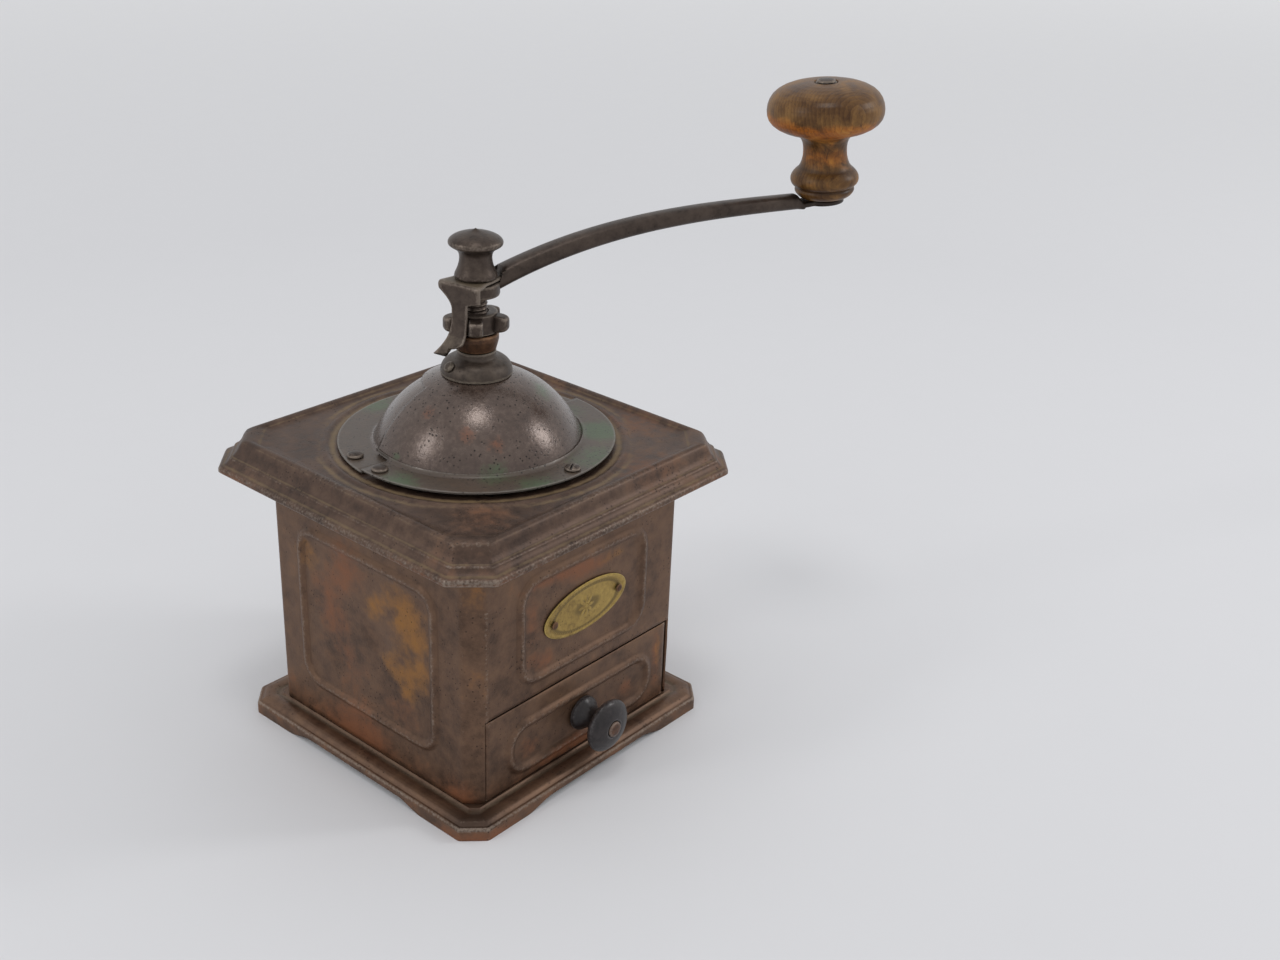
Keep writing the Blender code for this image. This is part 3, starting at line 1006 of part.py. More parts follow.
def make_pull(pull_mat, steel, slide):
    """The drawer's mushroom pull, turned about its screw."""
    axis = add_empty("pull_axis", (0, FRONT_Y, DRAWER_CENTRE_Z), (math.pi / 2, 0, 0), slide)
    seat, reach = GAP, PULL_LENGTH
    foot, neck, disc = PULL_FOOT_RADIUS, PULL_NECK_RADIUS, PULL_DISC_RADIUS
    bore = PULL_SCREW_RADIUS + GAP
    outline = [(foot, 0.0), (foot, 0.09), (foot * 0.82, 0.16), (neck * 1.12, 0.28), (neck, 0.42),
               (neck * 1.12, 0.54), (disc * 0.62, 0.62), (disc * 0.92, 0.67), (disc, 0.74),
               (disc * 0.96, 0.82), (disc * 0.78, 0.90), (disc * 0.50, 0.96), (disc * 0.40, 0.965)]
    side = [(r, seat + reach * share) for r, share in outline]
    face = seat + reach * 0.93
    profile = [(bore, seat)] + side + [(PULL_SCREW_HEAD_RADIUS + GAP, face), (bore, face)]
    turned("drawer_pull", profile, pull_mat, steps=20, parent=axis)
    nut_high = -(DRAWER_BOX_FRONT - FRONT_Y) - THIN_SHEET - GAP
    tail = nut_high - PULL_NUT_THICKNESS - PULL_SCREW_TAIL
    screw = rivet_profile(tail, face + GAP, PULL_SCREW_HEAD_RADIUS, PULL_SCREW_HEAD_HEIGHT,
                          PULL_SCREW_RADIUS)
    turned("pull_screw", screw, steel, steps=16, parent=axis)
    half = PULL_NUT_SIDE / 2
    ring = [(-half, -half), (half, -half), (half, half), (-half, half)]
    outer = [[Vector((x, y, z)) for x, y in ring] for z in (nut_high - PULL_NUT_THICKNESS, nut_high)]
    nut = loft("pull_nut", outer, steel, parent=axis)
    combine(nut, round_guide("nut_bore", PULL_SCREW_RADIUS + GAP, nut_high - PULL_NUT_THICKNESS - GAP,
                             nut_high + GAP, steps=12, parent=axis))


def make_label(brass, pin_mat):
    """The oval brass plate on the front panel, left bare, with its two pins."""
    seat = GAP
    holder = add_empty("label_place", (LABEL_CENTRE_X, FRONT_Y, LABEL_CENTRE_Z),
                       (math.pi / 2, -LABEL_TILT, 0))
    count = 28
    rings = []
    for scale, z in ((1.0, seat), (1.0, seat + LABEL_THICKNESS * 0.7), (0.985, seat + LABEL_THICKNESS)):
        rings.append([Vector((LABEL_WIDTH / 2 * scale * math.cos(math.tau * i / count),
                              LABEL_HEIGHT / 2 * scale * math.sin(math.tau * i / count), z))
                      for i in range(count)])
    label = loft("label_plate", rings, brass, parent=holder)
    for side, name in ((-1, "label_pin_left"), (1, "label_pin_right")):
        place = (side * LABEL_PIN_SPACING / 2, 0, 0)
        shank = LABEL_PIN_RADIUS * 0.6
        combine(label, round_guide(f"{name}_hole", shank + GAP, -GAP, 4 * LABEL_THICKNESS, steps=8,
                                   location=place, parent=holder))
        top = seat + LABEL_THICKNESS + GAP
        pin = rivet_profile(seat, top, LABEL_PIN_RADIUS * 1.5, LABEL_PIN_HEAD_HEIGHT, shank)
        turned(name, pin, pin_mat, steps=8, parent=holder, location=place)


def main():
    for obj in list(bpy.data.objects):
        bpy.data.objects.remove(obj, do_unlink=True)
    case = material("aged steel sheet", (0.10, 0.055, 0.032), 0.55, 0.6)
    dome_steel = material("pitted steel", (0.13, 0.095, 0.075), 0.40, 0.8)
    forged = material("forged steel", (0.075, 0.055, 0.042), 0.50, 0.85)
    tin = material("dull tinplate", (0.33, 0.31, 0.28), 0.45, 0.9)
    iron = material("cast iron", (0.06, 0.055, 0.05), 0.60, 0.8)
    brass = material("old brass", (0.46, 0.33, 0.11), 0.42, 0.9)
    copper = material("coppery bush", (0.24, 0.11, 0.055), 0.45, 0.85)
    wood = material("turned beech", (0.22, 0.09, 0.03), 0.45, 0.0)
    black = material("black turned pull", (0.03, 0.03, 0.035), 0.45, 0.2)

    crank_axis = add_empty("crank_axis", turn=(0, 0, ARM_HEADING))
    door_axis = add_empty("door_axis")
    slide = add_empty("drawer_slide")

    make_base(case)
    make_body(case)
    make_cover(case)
    make_dome(dome_steel)
    make_door(dome_steel, door_axis)
    make_fasteners(forged, door_axis)
    make_collar(dome_steel, forged, copper)
    make_adjuster(copper, forged, crank_axis)
    make_shaft(forged, crank_axis)
    make_crank(forged, crank_axis)
    make_leaf(forged, crank_axis)
    make_top_nut(forged, crank_axis)
    make_handle(wood, forged, crank_axis)
    make_bowl(tin)
    make_burrs(iron, forged, crank_axis)
    make_bridge(iron)
    make_rails(tin)
    make_drawer(case, tin, black, slide)
    make_label(brass, brass)

    spindle_place = add_empty("spindle_place", (SPINDLE_X, SPINDLE_Y, 0))
    for obj in list(bpy.data.objects):
        if obj.parent is None and obj is not spindle_place:
            obj.parent = spindle_place


main()
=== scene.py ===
# %% [markdown]
# # An old box mill, dressed for its portrait
#
# The mill is a small machine of stamped steel sheet. Its solids are loaded as a fixed frame.
# They are true in size but plain. This lesson lays finer surfaces over the pieces that show,
# and gives each one the finish that age gave it: brown patina, rust, rubbed edges, worn
# varnish. All lengths below are in millimetres until they are put in a mesh.

# %% Load the frame
from functools import partial

import bmesh
import bpy
import numpy as np
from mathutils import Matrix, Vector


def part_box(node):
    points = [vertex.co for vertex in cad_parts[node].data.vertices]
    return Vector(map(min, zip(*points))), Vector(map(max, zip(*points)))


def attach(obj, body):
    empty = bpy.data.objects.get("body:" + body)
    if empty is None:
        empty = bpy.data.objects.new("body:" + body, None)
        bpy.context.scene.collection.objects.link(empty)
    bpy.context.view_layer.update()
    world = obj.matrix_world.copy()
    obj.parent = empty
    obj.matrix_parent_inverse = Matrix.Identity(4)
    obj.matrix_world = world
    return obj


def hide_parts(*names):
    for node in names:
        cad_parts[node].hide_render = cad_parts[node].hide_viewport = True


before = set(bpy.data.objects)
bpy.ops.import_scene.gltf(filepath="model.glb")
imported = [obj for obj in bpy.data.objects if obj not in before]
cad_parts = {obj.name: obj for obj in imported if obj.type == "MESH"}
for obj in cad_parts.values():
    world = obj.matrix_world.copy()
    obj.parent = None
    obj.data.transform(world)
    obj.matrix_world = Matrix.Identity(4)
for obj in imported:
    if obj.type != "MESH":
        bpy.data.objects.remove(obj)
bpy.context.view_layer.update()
SPINDLE = np.array(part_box("main_shaft")).mean(0) * 1000
SPINDLE[2] = 0.0
print("nodes:", len(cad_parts), "spindle at", SPINDLE.round(2))

# %% [markdown]
# ## The camera
#
# A camera can be placed by eye, or worked out from things of known size in the picture. Here
# the edges of the square case were used to solve its place, its heading, its dip and a small
# roll by least squares. Only the result is written down.

# %% Place the camera
HEADING, DIP, ROLL = np.radians([-50.362, 25.409, 2.519])
FOCAL_PIXELS, FRAME_WIDTH, SENSOR = 1513.425, 1280, 36.0
EYE = SPINDLE + np.array([-282.545, -297.035, 274.842])

forward = np.array([-np.sin(HEADING) * np.cos(DIP), np.cos(HEADING) * np.cos(DIP), -np.sin(DIP)])
level = np.cross(forward, [0, 0, 1])
level /= np.linalg.norm(level)
upright = np.cross(level, forward)
across = level * np.cos(ROLL) + upright * np.sin(ROLL)
above = upright * np.cos(ROLL) - level * np.sin(ROLL)

camera_data = bpy.data.cameras.new("portrait")
camera_data.sensor_width = SENSOR
camera_data.lens = SENSOR * FOCAL_PIXELS / FRAME_WIDTH
camera = bpy.data.objects.new("portrait", camera_data)
bpy.context.scene.collection.objects.link(camera)
pose = np.eye(4)
pose[:3, 0], pose[:3, 1], pose[:3, 2], pose[:3, 3] = across, above, -forward, EYE / 1000
camera.matrix_world = pose.T.tolist()
bpy.context.scene.camera = camera
print("lens", round(camera_data.lens, 2), "mm at", (EYE / 1000).round(3))

# %% [markdown]
# ## Nodes and colours
#
# A material in Blender is a graph of nodes. One helper adds a node, sets what it is told, makes
# its links and gives back an output, so that each material below reads as a list of steps.
# Colours are written as they are seen on a screen, in hex, and turned to the linear values
# that light works in.


# %% Helpers for materials
def tone(code):
    """Linear colour of an sRGB hex code: the standard curve, undone for each channel."""
    srgb = np.array([int(code[i:i + 2], 16) for i in (1, 3, 5)]) / 255
    linear = np.where(srgb <= 0.04045, srgb / 12.92, ((srgb + 0.055) / 1.055) ** 2.4)
    return (*linear.tolist(), 1.0)


def feed(tree, socket, value):
    """Link an output to a socket, or set the socket to a plain value."""
    if isinstance(value, bpy.types.NodeSocket):
        tree.links.new(value, socket)
    else:
        socket.default_value = value


def add(tree, kind, inputs=(), out=0, stops=(), **settings):
    """Add a node and give back one output. Inputs are values or links, by name or in order."""
    made = tree.nodes.new("ShaderNode" + kind)
    for key, value in settings.items():
        setattr(made, key, value)
    for key, value in (inputs.items() if isinstance(inputs, dict) else enumerate(inputs)):
        socket = made.inputs[key] if isinstance(key, int) else next(
            s for s in made.inputs if key in (s.identifier, s.name))
        feed(tree, socket, value)
    for number, (place, colour) in enumerate(stops):
        element = made.color_ramp.elements[number] if number < 2 else made.color_ramp.elements.new(1.0)
        element.position, element.color = place, tone(colour)
    return made.outputs[out]


EASED = {"interpolation_type": "SMOOTHSTEP"}
TIMES_PLUS = {"operation": "MULTIPLY_ADD"}


def started(name):
    """A new material, the helper above bound to its graph, and its Principled shader."""
    material = bpy.data.materials.new(name)
    material.use_nodes = True
    tree = material.node_tree
    return material, partial(add, tree), tree.nodes["Principled BSDF"]


def finished(material, shader, **inputs):
    """Set or link the shader's inputs, with spaces in their names written as underscores."""
    for key, value in inputs.items():
        feed(material.node_tree, shader.inputs[key.replace("_", " ")], value)
    return material


def layered(node, colour, layers):
    """Lay colours over each other: each layer is how far it covers, how strongly, and its tone."""
    for cover, strength, code in layers:
        amount = node("Math", [cover, strength], operation="MULTIPLY")
        colour = node("Mix", {"Factor_Float": amount, "A_Color": colour, "B_Color": tone(code)}, 2,
                      data_type="RGBA")
    return colour


def per_mm(size):
    """Scale of a pattern on coordinates in metres whose grains are this many millimetres."""
    return 1000.0 / size


print("grey #808080 is", round(tone("#808080")[0], 3), "linear")

# %% [markdown]
# ## Old steel sheet
#
# The case, cover and base are cold rolled steel sheet, stamped in a press, then browned. A
# century of hands and damp laid a mottled oxide over it. Oxide isn't bare metal, so the
# metallic value is middling, and it falls further where rust or dust lies on top. On the dome
# a thin film of old oil shines over the pitted steel. The eye reads four scales: patches of
# rust 20 mm wide, mottling of 4 mm, grit under 1 mm, and small black pits.
#
# Where the rust lies isn't chance. Each new mesh below carries two attributes. **edge** is how
# convex the surface is, so that ridges can be rubbed bright, which is also a painted highlight,
# and hollows hold dirt, which is also painted shade. **marks** says where rust (red), a second
# stain (green) and dust (blue) have gathered. The second stain is gold on the case, green on the
# dome and, on the tray, grime with painted shade over the front corner.


# %% A patina for metals
def aged(name, palette, patch=22, mottle=4.0, grit=0.7, rough=(0.40, 0.60), metallic=0.6, pits=0.6,
         relief=0.25, rust_from=0.62, pitted_from=0.47, film=0.0):
    """Mottled oxide on metal, with rust, stains and dust where the marks say, and rubbed edges.

    The palette is the dark, middle and light oxide, then rust, stain, dust and rubbed metal.
    The rubbed metal on ridges is also a painted highlight, and the dark oxide in hollows is also
    painted shade.
    """
    dark, mid, light, rust, stain, dust, worn = palette.split()
    material, node, shader = started(name)
    spot = node("TexCoord", out="Object")
    patches = node("TexNoise", {"Vector": spot, "Scale": per_mm(patch), "Detail": 6.0,
                                "Roughness": 0.62, "Distortion": 0.4})
    mottling = node("TexNoise", {"Vector": spot, "Scale": per_mm(mottle), "Detail": 6.0,
                                 "Roughness": 0.65})
    gritty = node("TexNoise", {"Vector": spot, "Scale": per_mm(grit), "Detail": 3.0})
    sparse = node("TexNoise", {"Vector": spot, "Scale": per_mm(9.0), "Detail": 3.0})
    cells = node("TexVoronoi", {"Vector": spot, "Scale": per_mm(1.3)}, "Distance")
    edge = node("Attribute", out="Fac", attribute_name="edge")
    marks = node("Attribute", out="Color", attribute_name="marks")
    red, green, blue = (node("SeparateColor", [marks], channel) for channel in range(3))

    uneven = node("Math", [mottling, 0.9, -0.45], **TIMES_PLUS)
    pit = node("MapRange", [cells, 0.26, 0.12], **EASED)
    few = node("MapRange", [sparse, pitted_from, pitted_from + 0.15], **EASED)
    pitted = node("Math", [pit, few], operation="MULTIPLY")
    rusting = node("Math", [node("Math", [patches, red]), uneven])
    rusty = node("MapRange", [rusting, rust_from, rust_from + 0.6], **EASED)
    staining = node("Math", [node("Math", [green, patches]), uneven])
    stained = node("MapRange", [staining, 0.75, 1.35], **EASED)
    dusting = node("Math", [blue, uneven])
    dusty = node("MapRange", [dusting, 0.25, 0.9], **EASED)
    # Ridges take the rubbed-metal colour: wear, and also a painted highlight along the beads.
    wear_and_highlight_amount = node("Math", [gritty, 1.2, edge], **TIMES_PLUS)
    rubbed = node("MapRange", [wear_and_highlight_amount, 0.95, 1.6], **EASED)
    # Hollows take the dark oxide: grime, and also painted shade beside the beads and in folds.
    grime_and_shade_amount = node("Math", [uneven, edge], operation="SUBTRACT")
    grime_and_shade = node("MapRange", [grime_and_shade_amount, 0.22, 0.8], **EASED)

    ground = node("Mix", {"Factor_Float": 0.55, "A_Float": patches, "B_Float": mottling})
    colour = node("ValToRGB", [ground], stops=[(0.33, dark), (0.50, mid), (0.68, light)])
    colour = layered(node, colour, [
        (rusty, 0.8, rust), (dusty, 0.6, dust), (stained, 0.8, stain), (grime_and_shade, 0.8, dark),
        (rubbed, 0.75, worn), (pitted, pits, "#1D1714")])
    laid = node("Math", [rusty, dusty], operation="MAXIMUM")
    metal = node("MapRange", [laid, 0.0, 1.0, metallic, metallic * 0.3])
    dull = node("Math", [laid, 0.45, mottling], **TIMES_PLUS)
    dull = node("Math", [pitted, 0.6, dull], **TIMES_PLUS)
    roughness = node("MapRange", [dull, 0.35, 0.95, *rough])
    height = node("Math", [gritty, 0.5, mottling], **TIMES_PLUS)
    height = node("Math", [pitted, -0.8, height], **TIMES_PLUS)
    bump = node("Bump", {"Height": height, "Strength": relief, "Distance": 0.0004})
    if film:
        worn_film = node("Math", [laid, pitted], operation="MAXIMUM")
        finished(material, shader, Coat_Weight=node("MapRange", [worn_film, 0.0, 1.0, film, 0.0]),
                 Coat_Roughness=0.2, Coat_Normal=bump)
    return finished(material, shader, Base_Color=colour, Roughness=roughness, Normal=bump,
                    Metallic=metal)


# %% Steel finishes
# In each palette the last colour, rubbed metal, is also a painted highlight on ridges, and the first, dark
# oxide, is also painted shade in hollows.
case_steel = aged("browned_steel_sheet", "#49362A #684F3E #7C604A #7E4B2B #9C6C32 #6E6250 #948578")
# The tray's second stain is a dark brown laid on its front corner: grime and painted shade.
tray_grime_and_shade_steel = aged("browned_steel_tray_grime_and_shade", "#49362A #684F3E #7C604A #7E4B2B #33261F #6E6250 #948578")
cover_steel = aged("browned_steel_cover", "#382B24 #544136 #6A5546 #75492C #735A36 #7C6848 #8C7F73")
dome_steel = aged("pitted_steel_dome", "#42352F #54453D #65564D #7A4628 #45583C #4A4136 #6E6862",
    patch=16, mottle=1.6, rough=(0.22, 0.38), metallic=0.55, pits=1.0, relief=0.16, rust_from=0.72,
    pitted_from=0.36, film=0.42)
forged_steel = aged("forged_steel", "#2A221D #453A33 #5A4E45 #653F28 #5C4E34 #6A5D4A #7E7267",
    patch=14, mottle=2.5, rough=(0.36, 0.52), metallic=0.65, pits=0.4, relief=0.22, rust_from=0.72)
collar_steel = aged("dusty_collar_steel", "#2C2520 #4A4038 #5C5147 #5F4030 #464E3A #665B4A #766C60",
    patch=10, mottle=2.0, rough=(0.40, 0.56), pits=0.5, rust_from=0.75)
print("steel finishes:", case_steel.name, tray_grime_and_shade_steel.name, cover_steel.name, dome_steel.name)

# %% [markdown]
# ## Other metals
#
# The plate on the front is rolled brass, dulled to olive. The sleeve and the bush are a copper
# alloy, worn by turning. The burrs are grey cast iron. The sheet inside is tinplate, brighter
# because it was shut away. The drawer's pull was japanned: baked black varnish over steel.

# %% Finishes for the small pieces
old_brass = aged("rolled_brass_plate", "#6A532B #9C8246 #B69A54 #7A6032 #66542E #A89058 #C0A862",
    patch=12, mottle=1.6, grit=0.4, rough=(0.38, 0.55), pits=0.4, relief=0.12, rust_from=0.75)
copper_alloy = aged("worn_copper_alloy", "#2E2119 #513827 #6A4A33 #62391F #434A36 #5E4E3C #7E5E44",
    patch=8, mottle=1.5, pits=0.3, relief=0.15)
cast_iron = aged("cast_iron", "#2C2A28 #45423E #5C5852 #6B4530 #50483C #6A6258 #8E8880",
    patch=9, mottle=1.2, grit=0.5, rough=(0.5, 0.7), pits=0.4, relief=0.4)
tinplate = aged("dull_tinplate", "#6A655E #8A857C #A29C92 #7A5436 #8A7A5C #7E766A #B8B3AA",
    patch=18, mottle=3.0, rough=(0.32, 0.5), metallic=0.8, pits=0.2, relief=0.1, rust_from=0.74)
japanned = aged("japanned_black", "#1B1717 #2B2626 #3C3635 #46291C #2E2620 #4C4540 #5A5656",
    patch=8, mottle=1.8, rough=(0.28, 0.44), metallic=0.3, pits=0.25, relief=0.1, rust_from=0.78)
screw_steel = aged("rusty_screw_steel", "#33241C #533829 #6A4834 #7E4A2C #5E4230 #75695A #7E6C60",
    patch=5, mottle=1.0, metallic=0.3, relief=0.4, rust_from=0.5)
print("small finishes:", old_brass.name, copper_alloy.name, cast_iron.name, tinplate.name)

# %% [markdown]
# ## Turned beech
#
# The knob is turned from beech along the grain. On the cap the growth rings show as fine curved
# lines, on the waist the pores show as short dark strokes. Old varnish is brown, and where
# hands rubbed it through, the wood is orange. Rings are distances from the heart of the tree,
# which lies off to one side. Pores are noise that is stretched along the axis.

# %% A finish for wood
CRANK_HEADING, KNOB_LEAN = np.radians([-22.0, -5.0])
CRANK_REACH, TAB_HEIGHT = 115.5, 154.57
KNOB_FOOT = np.array([CRANK_REACH * np.cos(CRANK_HEADING), CRANK_REACH * np.sin(CRANK_HEADING),
                      TAB_HEIGHT])


def turned_beech(name):
    """Rings about a heart off to one side, pores along the axis, and varnish rubbed by hands."""
    material, node, shader = started(name)
    spot = node("Mapping", {"Vector": node("TexCoord", out="Object"),
                            "Location": tuple(-(KNOB_FOOT + SPINDLE) / 1000)})
    along = node("Mapping", {"Vector": spot, "Scale": (1.0, 1.0, 0.10)})
    heart = node("Mapping", {"Vector": spot, "Location": (0.0164, 0.0309, 0.0),
                             "Rotation": (0.25, -0.15, 0.0)})
    rings = node("TexWave", {"Vector": heart, "Scale": per_mm(3.6), "Distortion": 6.0,
                             "Detail": 3.0, "Detail Scale": 0.45},
                 "Fac", wave_type="RINGS", rings_direction="Z", wave_profile="SAW")
    strokes = node("TexNoise", {"Vector": along, "Scale": per_mm(0.55), "Detail": 3.0})
    clouds = node("TexNoise", {"Vector": spot, "Scale": per_mm(7.0), "Detail": 6.0,
                               "Roughness": 0.6, "Distortion": 0.5})
    marks = node("Attribute", out="Color", attribute_name="marks")
    red, blue = (node("SeparateColor", [marks], channel) for channel in (0, 2))

    pores = node("MapRange", [strokes, 0.58, 0.68], **EASED)
    wearing = node("Math", [clouds, 1.6, red], **TIMES_PLUS)
    bare = node("MapRange", [wearing, 1.1, 1.65], **EASED)
    ground = node("Mix", {"Factor_Float": 0.90, "A_Float": rings, "B_Float": clouds})
    varnished = node("ValToRGB", [ground], stops=[
        (0.34, "#43290F"), (0.50, "#604220"), (0.66, "#7C5A30")])
    rubbed = node("ValToRGB", [ground], stops=[
        (0.36, "#703E14"), (0.52, "#98581E"), (0.70, "#AC7432")])
    colour = node("Mix", {"Factor_Float": bare, "A_Color": varnished, "B_Color": rubbed}, 2,
                  data_type="RGBA")
    colour = layered(node, colour, [(pores, 0.55, "#3A2416"), (blue, 0.8, "#34231A")])
    roughness = node("MapRange", [node("Math", [bare, 0.3, clouds], **TIMES_PLUS),
                                  0.3, 1.0, 0.30, 0.55])
    height = node("Math", [pores, -5.0, rings], **TIMES_PLUS)
    bump = node("Bump", {"Height": height, "Strength": 0.1, "Distance": 0.0002})
    return finished(material, shader, Base_Color=colour, Roughness=roughness, Normal=bump,
                    Specular_IOR_Level=0.25)


beech = turned_beech("turned_beech")
print("wood:", beech.name)

# %% [markdown]
# ## From formulas to surfaces
#
# Most pieces here are one sheet of points on a grid. numpy works out all points at once, and
# each square of four neighbours becomes a face. Leaving some squares out cuts a hole, and a
# Solidify modifier gives a sheet its gauge. The **edge** attribute comes from the normals: along
# each mesh edge, the change of the normal against the way gone is the curvature, positive on
# ridges and negative in hollows.


# %% From a grid to a piece
EDGE_GAIN = 1.5


def unit(value):
    """A value held between nothing and one."""
    return np.clip(value, 0, 1)


def mark_edges(mesh):
    """Curvature at each vertex, from the normals at both ends of each edge, smoothed twice."""
    count = len(mesh.vertices)
    points, normals = np.empty(count * 3), np.empty(count * 3)
    mesh.vertices.foreach_get("co", points)
    mesh.vertex_normals.foreach_get("vector", normals)
    points, normals = points.reshape(-1, 3) * 1000, normals.reshape(-1, 3)
    ends = np.empty(len(mesh.edges) * 2, dtype=np.int32)
    mesh.edges.foreach_get("vertices", ends)
    a, b = ends.reshape(-1, 2).T
    way = points[b] - points[a]
    bend = ((normals[b] - normals[a]) * way).sum(1) / np.maximum((way ** 2).sum(1), 0.04)
    members = np.maximum(np.bincount(a, minlength=count) + np.bincount(b, minlength=count), 1)
    value = (np.bincount(a, bend, count) + np.bincount(b, bend, count)) / members
    for _ in range(2):
        nearby = (np.bincount(a, value[b], count) + np.bincount(b, value[a], count)) / members
        value = (value + nearby) / 2
    mesh.attributes.new("edge", "FLOAT", "POINT").data.foreach_set(
        "value", np.clip(value * EDGE_GAIN, -1, 1))


def skin(name, grids, body, finish, node, marks=None, wall=0.0, sharp=38):
    """A piece from grids of points in mm that close on themselves and stand for one node.

    A grid may also be a tuple: the points, whether they close, and which cells to keep. Marks
    give red, green and blue at each point. A wall is the gauge in mm, laid on the inner side.
    """
    corners, cells, first = [], [], 0
    for entry in grids:
        grid, closed, keep = entry if isinstance(entry, tuple) else (entry, True, None)
        rows, columns = grid.shape[:2]
        index = np.arange(rows * columns).reshape(rows, columns) + first
        if closed:
            index = np.hstack([index, index[:, :1]])
        quads = np.stack([index[:-1, :-1], index[:-1, 1:], index[1:, 1:], index[1:, :-1]], axis=-1)
        cells.append(quads[keep] if keep is not None else quads.reshape(-1, 4))
        corners.append(grid.reshape(-1, 3))
        first += rows * columns
    points = np.vstack(corners)
    mesh = bpy.data.meshes.new(name)
    mesh.from_pydata(((points + SPINDLE) / 1000).tolist(), [], np.vstack(cells).tolist())
    colours = np.zeros((len(points), 4))
    for channel, amount in enumerate(marks(points) if marks else ()):
        colours[:, channel] = unit(amount)
    mesh.attributes.new("marks", "FLOAT_COLOR", "POINT").data.foreach_set("color", colours.ravel())
    bm = bmesh.new()
    bm.from_mesh(mesh)
    bmesh.ops.remove_doubles(bm, verts=bm.verts, dist=2e-6)
    bmesh.ops.delete(bm, geom=[v for v in bm.verts if not v.link_faces], context="VERTS")
    bm.to_mesh(mesh)
    bm.free()
    mesh.shade_smooth()
    mesh.set_sharp_from_angle(angle=np.radians(sharp))
    mark_edges(mesh)
    mesh.materials.append(finish)
    piece = bpy.data.objects.new(name, mesh)
    bpy.context.scene.collection.objects.link(piece)
    if wall:
        gauge = piece.modifiers.new("gauge", "SOLIDIFY")
        gauge.thickness, gauge.offset, gauge.use_even_offset = wall / 1000, -1.0, True
    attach(piece, body)
    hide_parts(node)
    low, high = np.array(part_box(node))
    kept = np.empty(len(mesh.vertices) * 3)
    mesh.vertices.foreach_get("co", kept)
    kept = kept.reshape(-1, 3)
    past = np.maximum(low - kept, kept - high).max() * 1000
    print(f"{name}: {len(mesh.polygons)} faces on {body}, past its solid's box by {past:.2f} mm")


print("an edge mark of 1 is a ridge with a radius of", EDGE_GAIN, "mm or less")

# %% [markdown]
# ## Profiles and curves
#
# A turned piece is a profile carried round an axis. It is written down as a few corners of the
# real outline, which are resampled to small steps, and rounded where the real piece is soft.
# Three curves shape and stain the pieces: a step with soft ends, a bell, and a patch that fades
# at its rim. Sums of sine waves give the slow unevenness of work done by hand.


# %% Profiles, placing and curves
def fine(profile, step=0.5, soft=0):
    """A polyline resampled every step mm of its first two numbers; soft rounds its corners."""
    path = np.asarray(profile, dtype=float)
    for _ in range(soft):
        cut = np.stack([path[:-1] * 0.75 + path[1:] * 0.25, path[:-1] * 0.25 + path[1:] * 0.75], 1)
        path = np.vstack([path[:1], cut.reshape(-1, path.shape[1]), path[-1:]])
    run = np.concatenate([[0], np.cumsum(np.hypot(*np.diff(path[:, :2], axis=0).T) + 1e-9)])
    at = np.concatenate([np.linspace(lo, hi, max(1, round((hi - lo) / step)), endpoint=False)
                         for lo, hi in zip(run[:-1], run[1:])] + [run[-1:]])
    return np.stack([np.interp(at, run, column) for column in path.T], axis=1)


def polar(radius, turn, height):
    """Radius times cosine of the heading, radius times sine, and height, for arrays of each."""
    radius, turn, height = np.broadcast_arrays(radius, turn, height)
    return np.stack([radius * np.cos(turn), radius * np.sin(turn), height], axis=-1)


def around(columns):
    """Even headings all the way round, in radians."""
    return np.arange(columns) / columns * 2 * np.pi


def lathe(profile, columns=96, turn=None):
    """A profile of radius and height, carried round the axis in even or in given headings."""
    turn = around(columns) if turn is None else turn
    return polar(profile[:, :1], turn, profile[:, 1:2])


def placed(points, heading=0.0, lean=0.0, origin=(0, 0, 0)):
    """Points leant about Y, then turned about Z, then moved to an origin near the spindle."""
    x, y, z = np.moveaxis(points, -1, 0)
    x, z = x * np.cos(lean) + z * np.sin(lean), z * np.cos(lean) - x * np.sin(lean)
    c, s = np.cos(heading), np.sin(heading)
    return np.stack([x * c - y * s, x * s + y * c, z], axis=-1) + np.asarray(origin)


def eased(value):
    """A ramp from nothing to one with soft ends: three squares less two cubes."""
    value = unit(value)
    return value ** 2 * (3 - 2 * value)


def bell(value, centre, width):
    """One at the centre, falling on both sides as e to the power of minus distance squared."""
    return np.exp(-((value - centre) / width) ** 2)


def waves(points, size, seed=0):
    """Smooth noise from -1 to 1: nine sine waves whose headings come from a seed."""
    dice = np.random.default_rng(seed)
    total = np.zeros(points.shape[:-1])
    for octave in range(3):
        for _ in range(3):
            way = dice.normal(size=3)
            way *= 2 * np.pi * 1.6 ** octave / size / np.linalg.norm(way)
            total += np.sin(points @ way + dice.uniform(0, 6.28)) / 1.5 ** octave
    return total / 5.5


def blob(spots, centre, size):
    """One in the middle of an ellipsoid, easing to nothing at its rim."""
    reach = np.linalg.norm((spots - np.asarray(centre)) / np.asarray(size), axis=-1)
    return unit(1.25 - reach) ** 0.7


print("a 10 mm circle has", lathe(fine([(5, 0), (5, 1)])).shape[1], "columns")

# %% [markdown]
# ## The case
#
# Four walls are folded from one sheet, with narrow cut corners. A bead is pressed into each
# wall to stiffen it: in section it is a smooth hump, and in plan it follows a rectangle with
# round corners. The signed distance to that rectangle gives the hump's height at any point.
# The columns lie closer where the upright beads run, and the rows where the level ones do.

# %% Rings, rows and beads
BODY_HALF, BODY_CUT, BODY_LOW, BODY_HIGH = 44.2, 4.6, 5.6, 91.4
PANELS = ((25.8, 38.5, 70.5), (28.6, 17.8, 69.0), (28.6, 17.8, 69.0), (28.6, 17.8, 69.0))
BEAD_HALF, BEAD_RISE, BEAD_ROUND, LAP = 1.8, 1.0, 6.7, 0.3
DRAWER_LEFT, DRAWER_RIGHT, DRAWER_TOP = -39.57, 40.2, 32.9


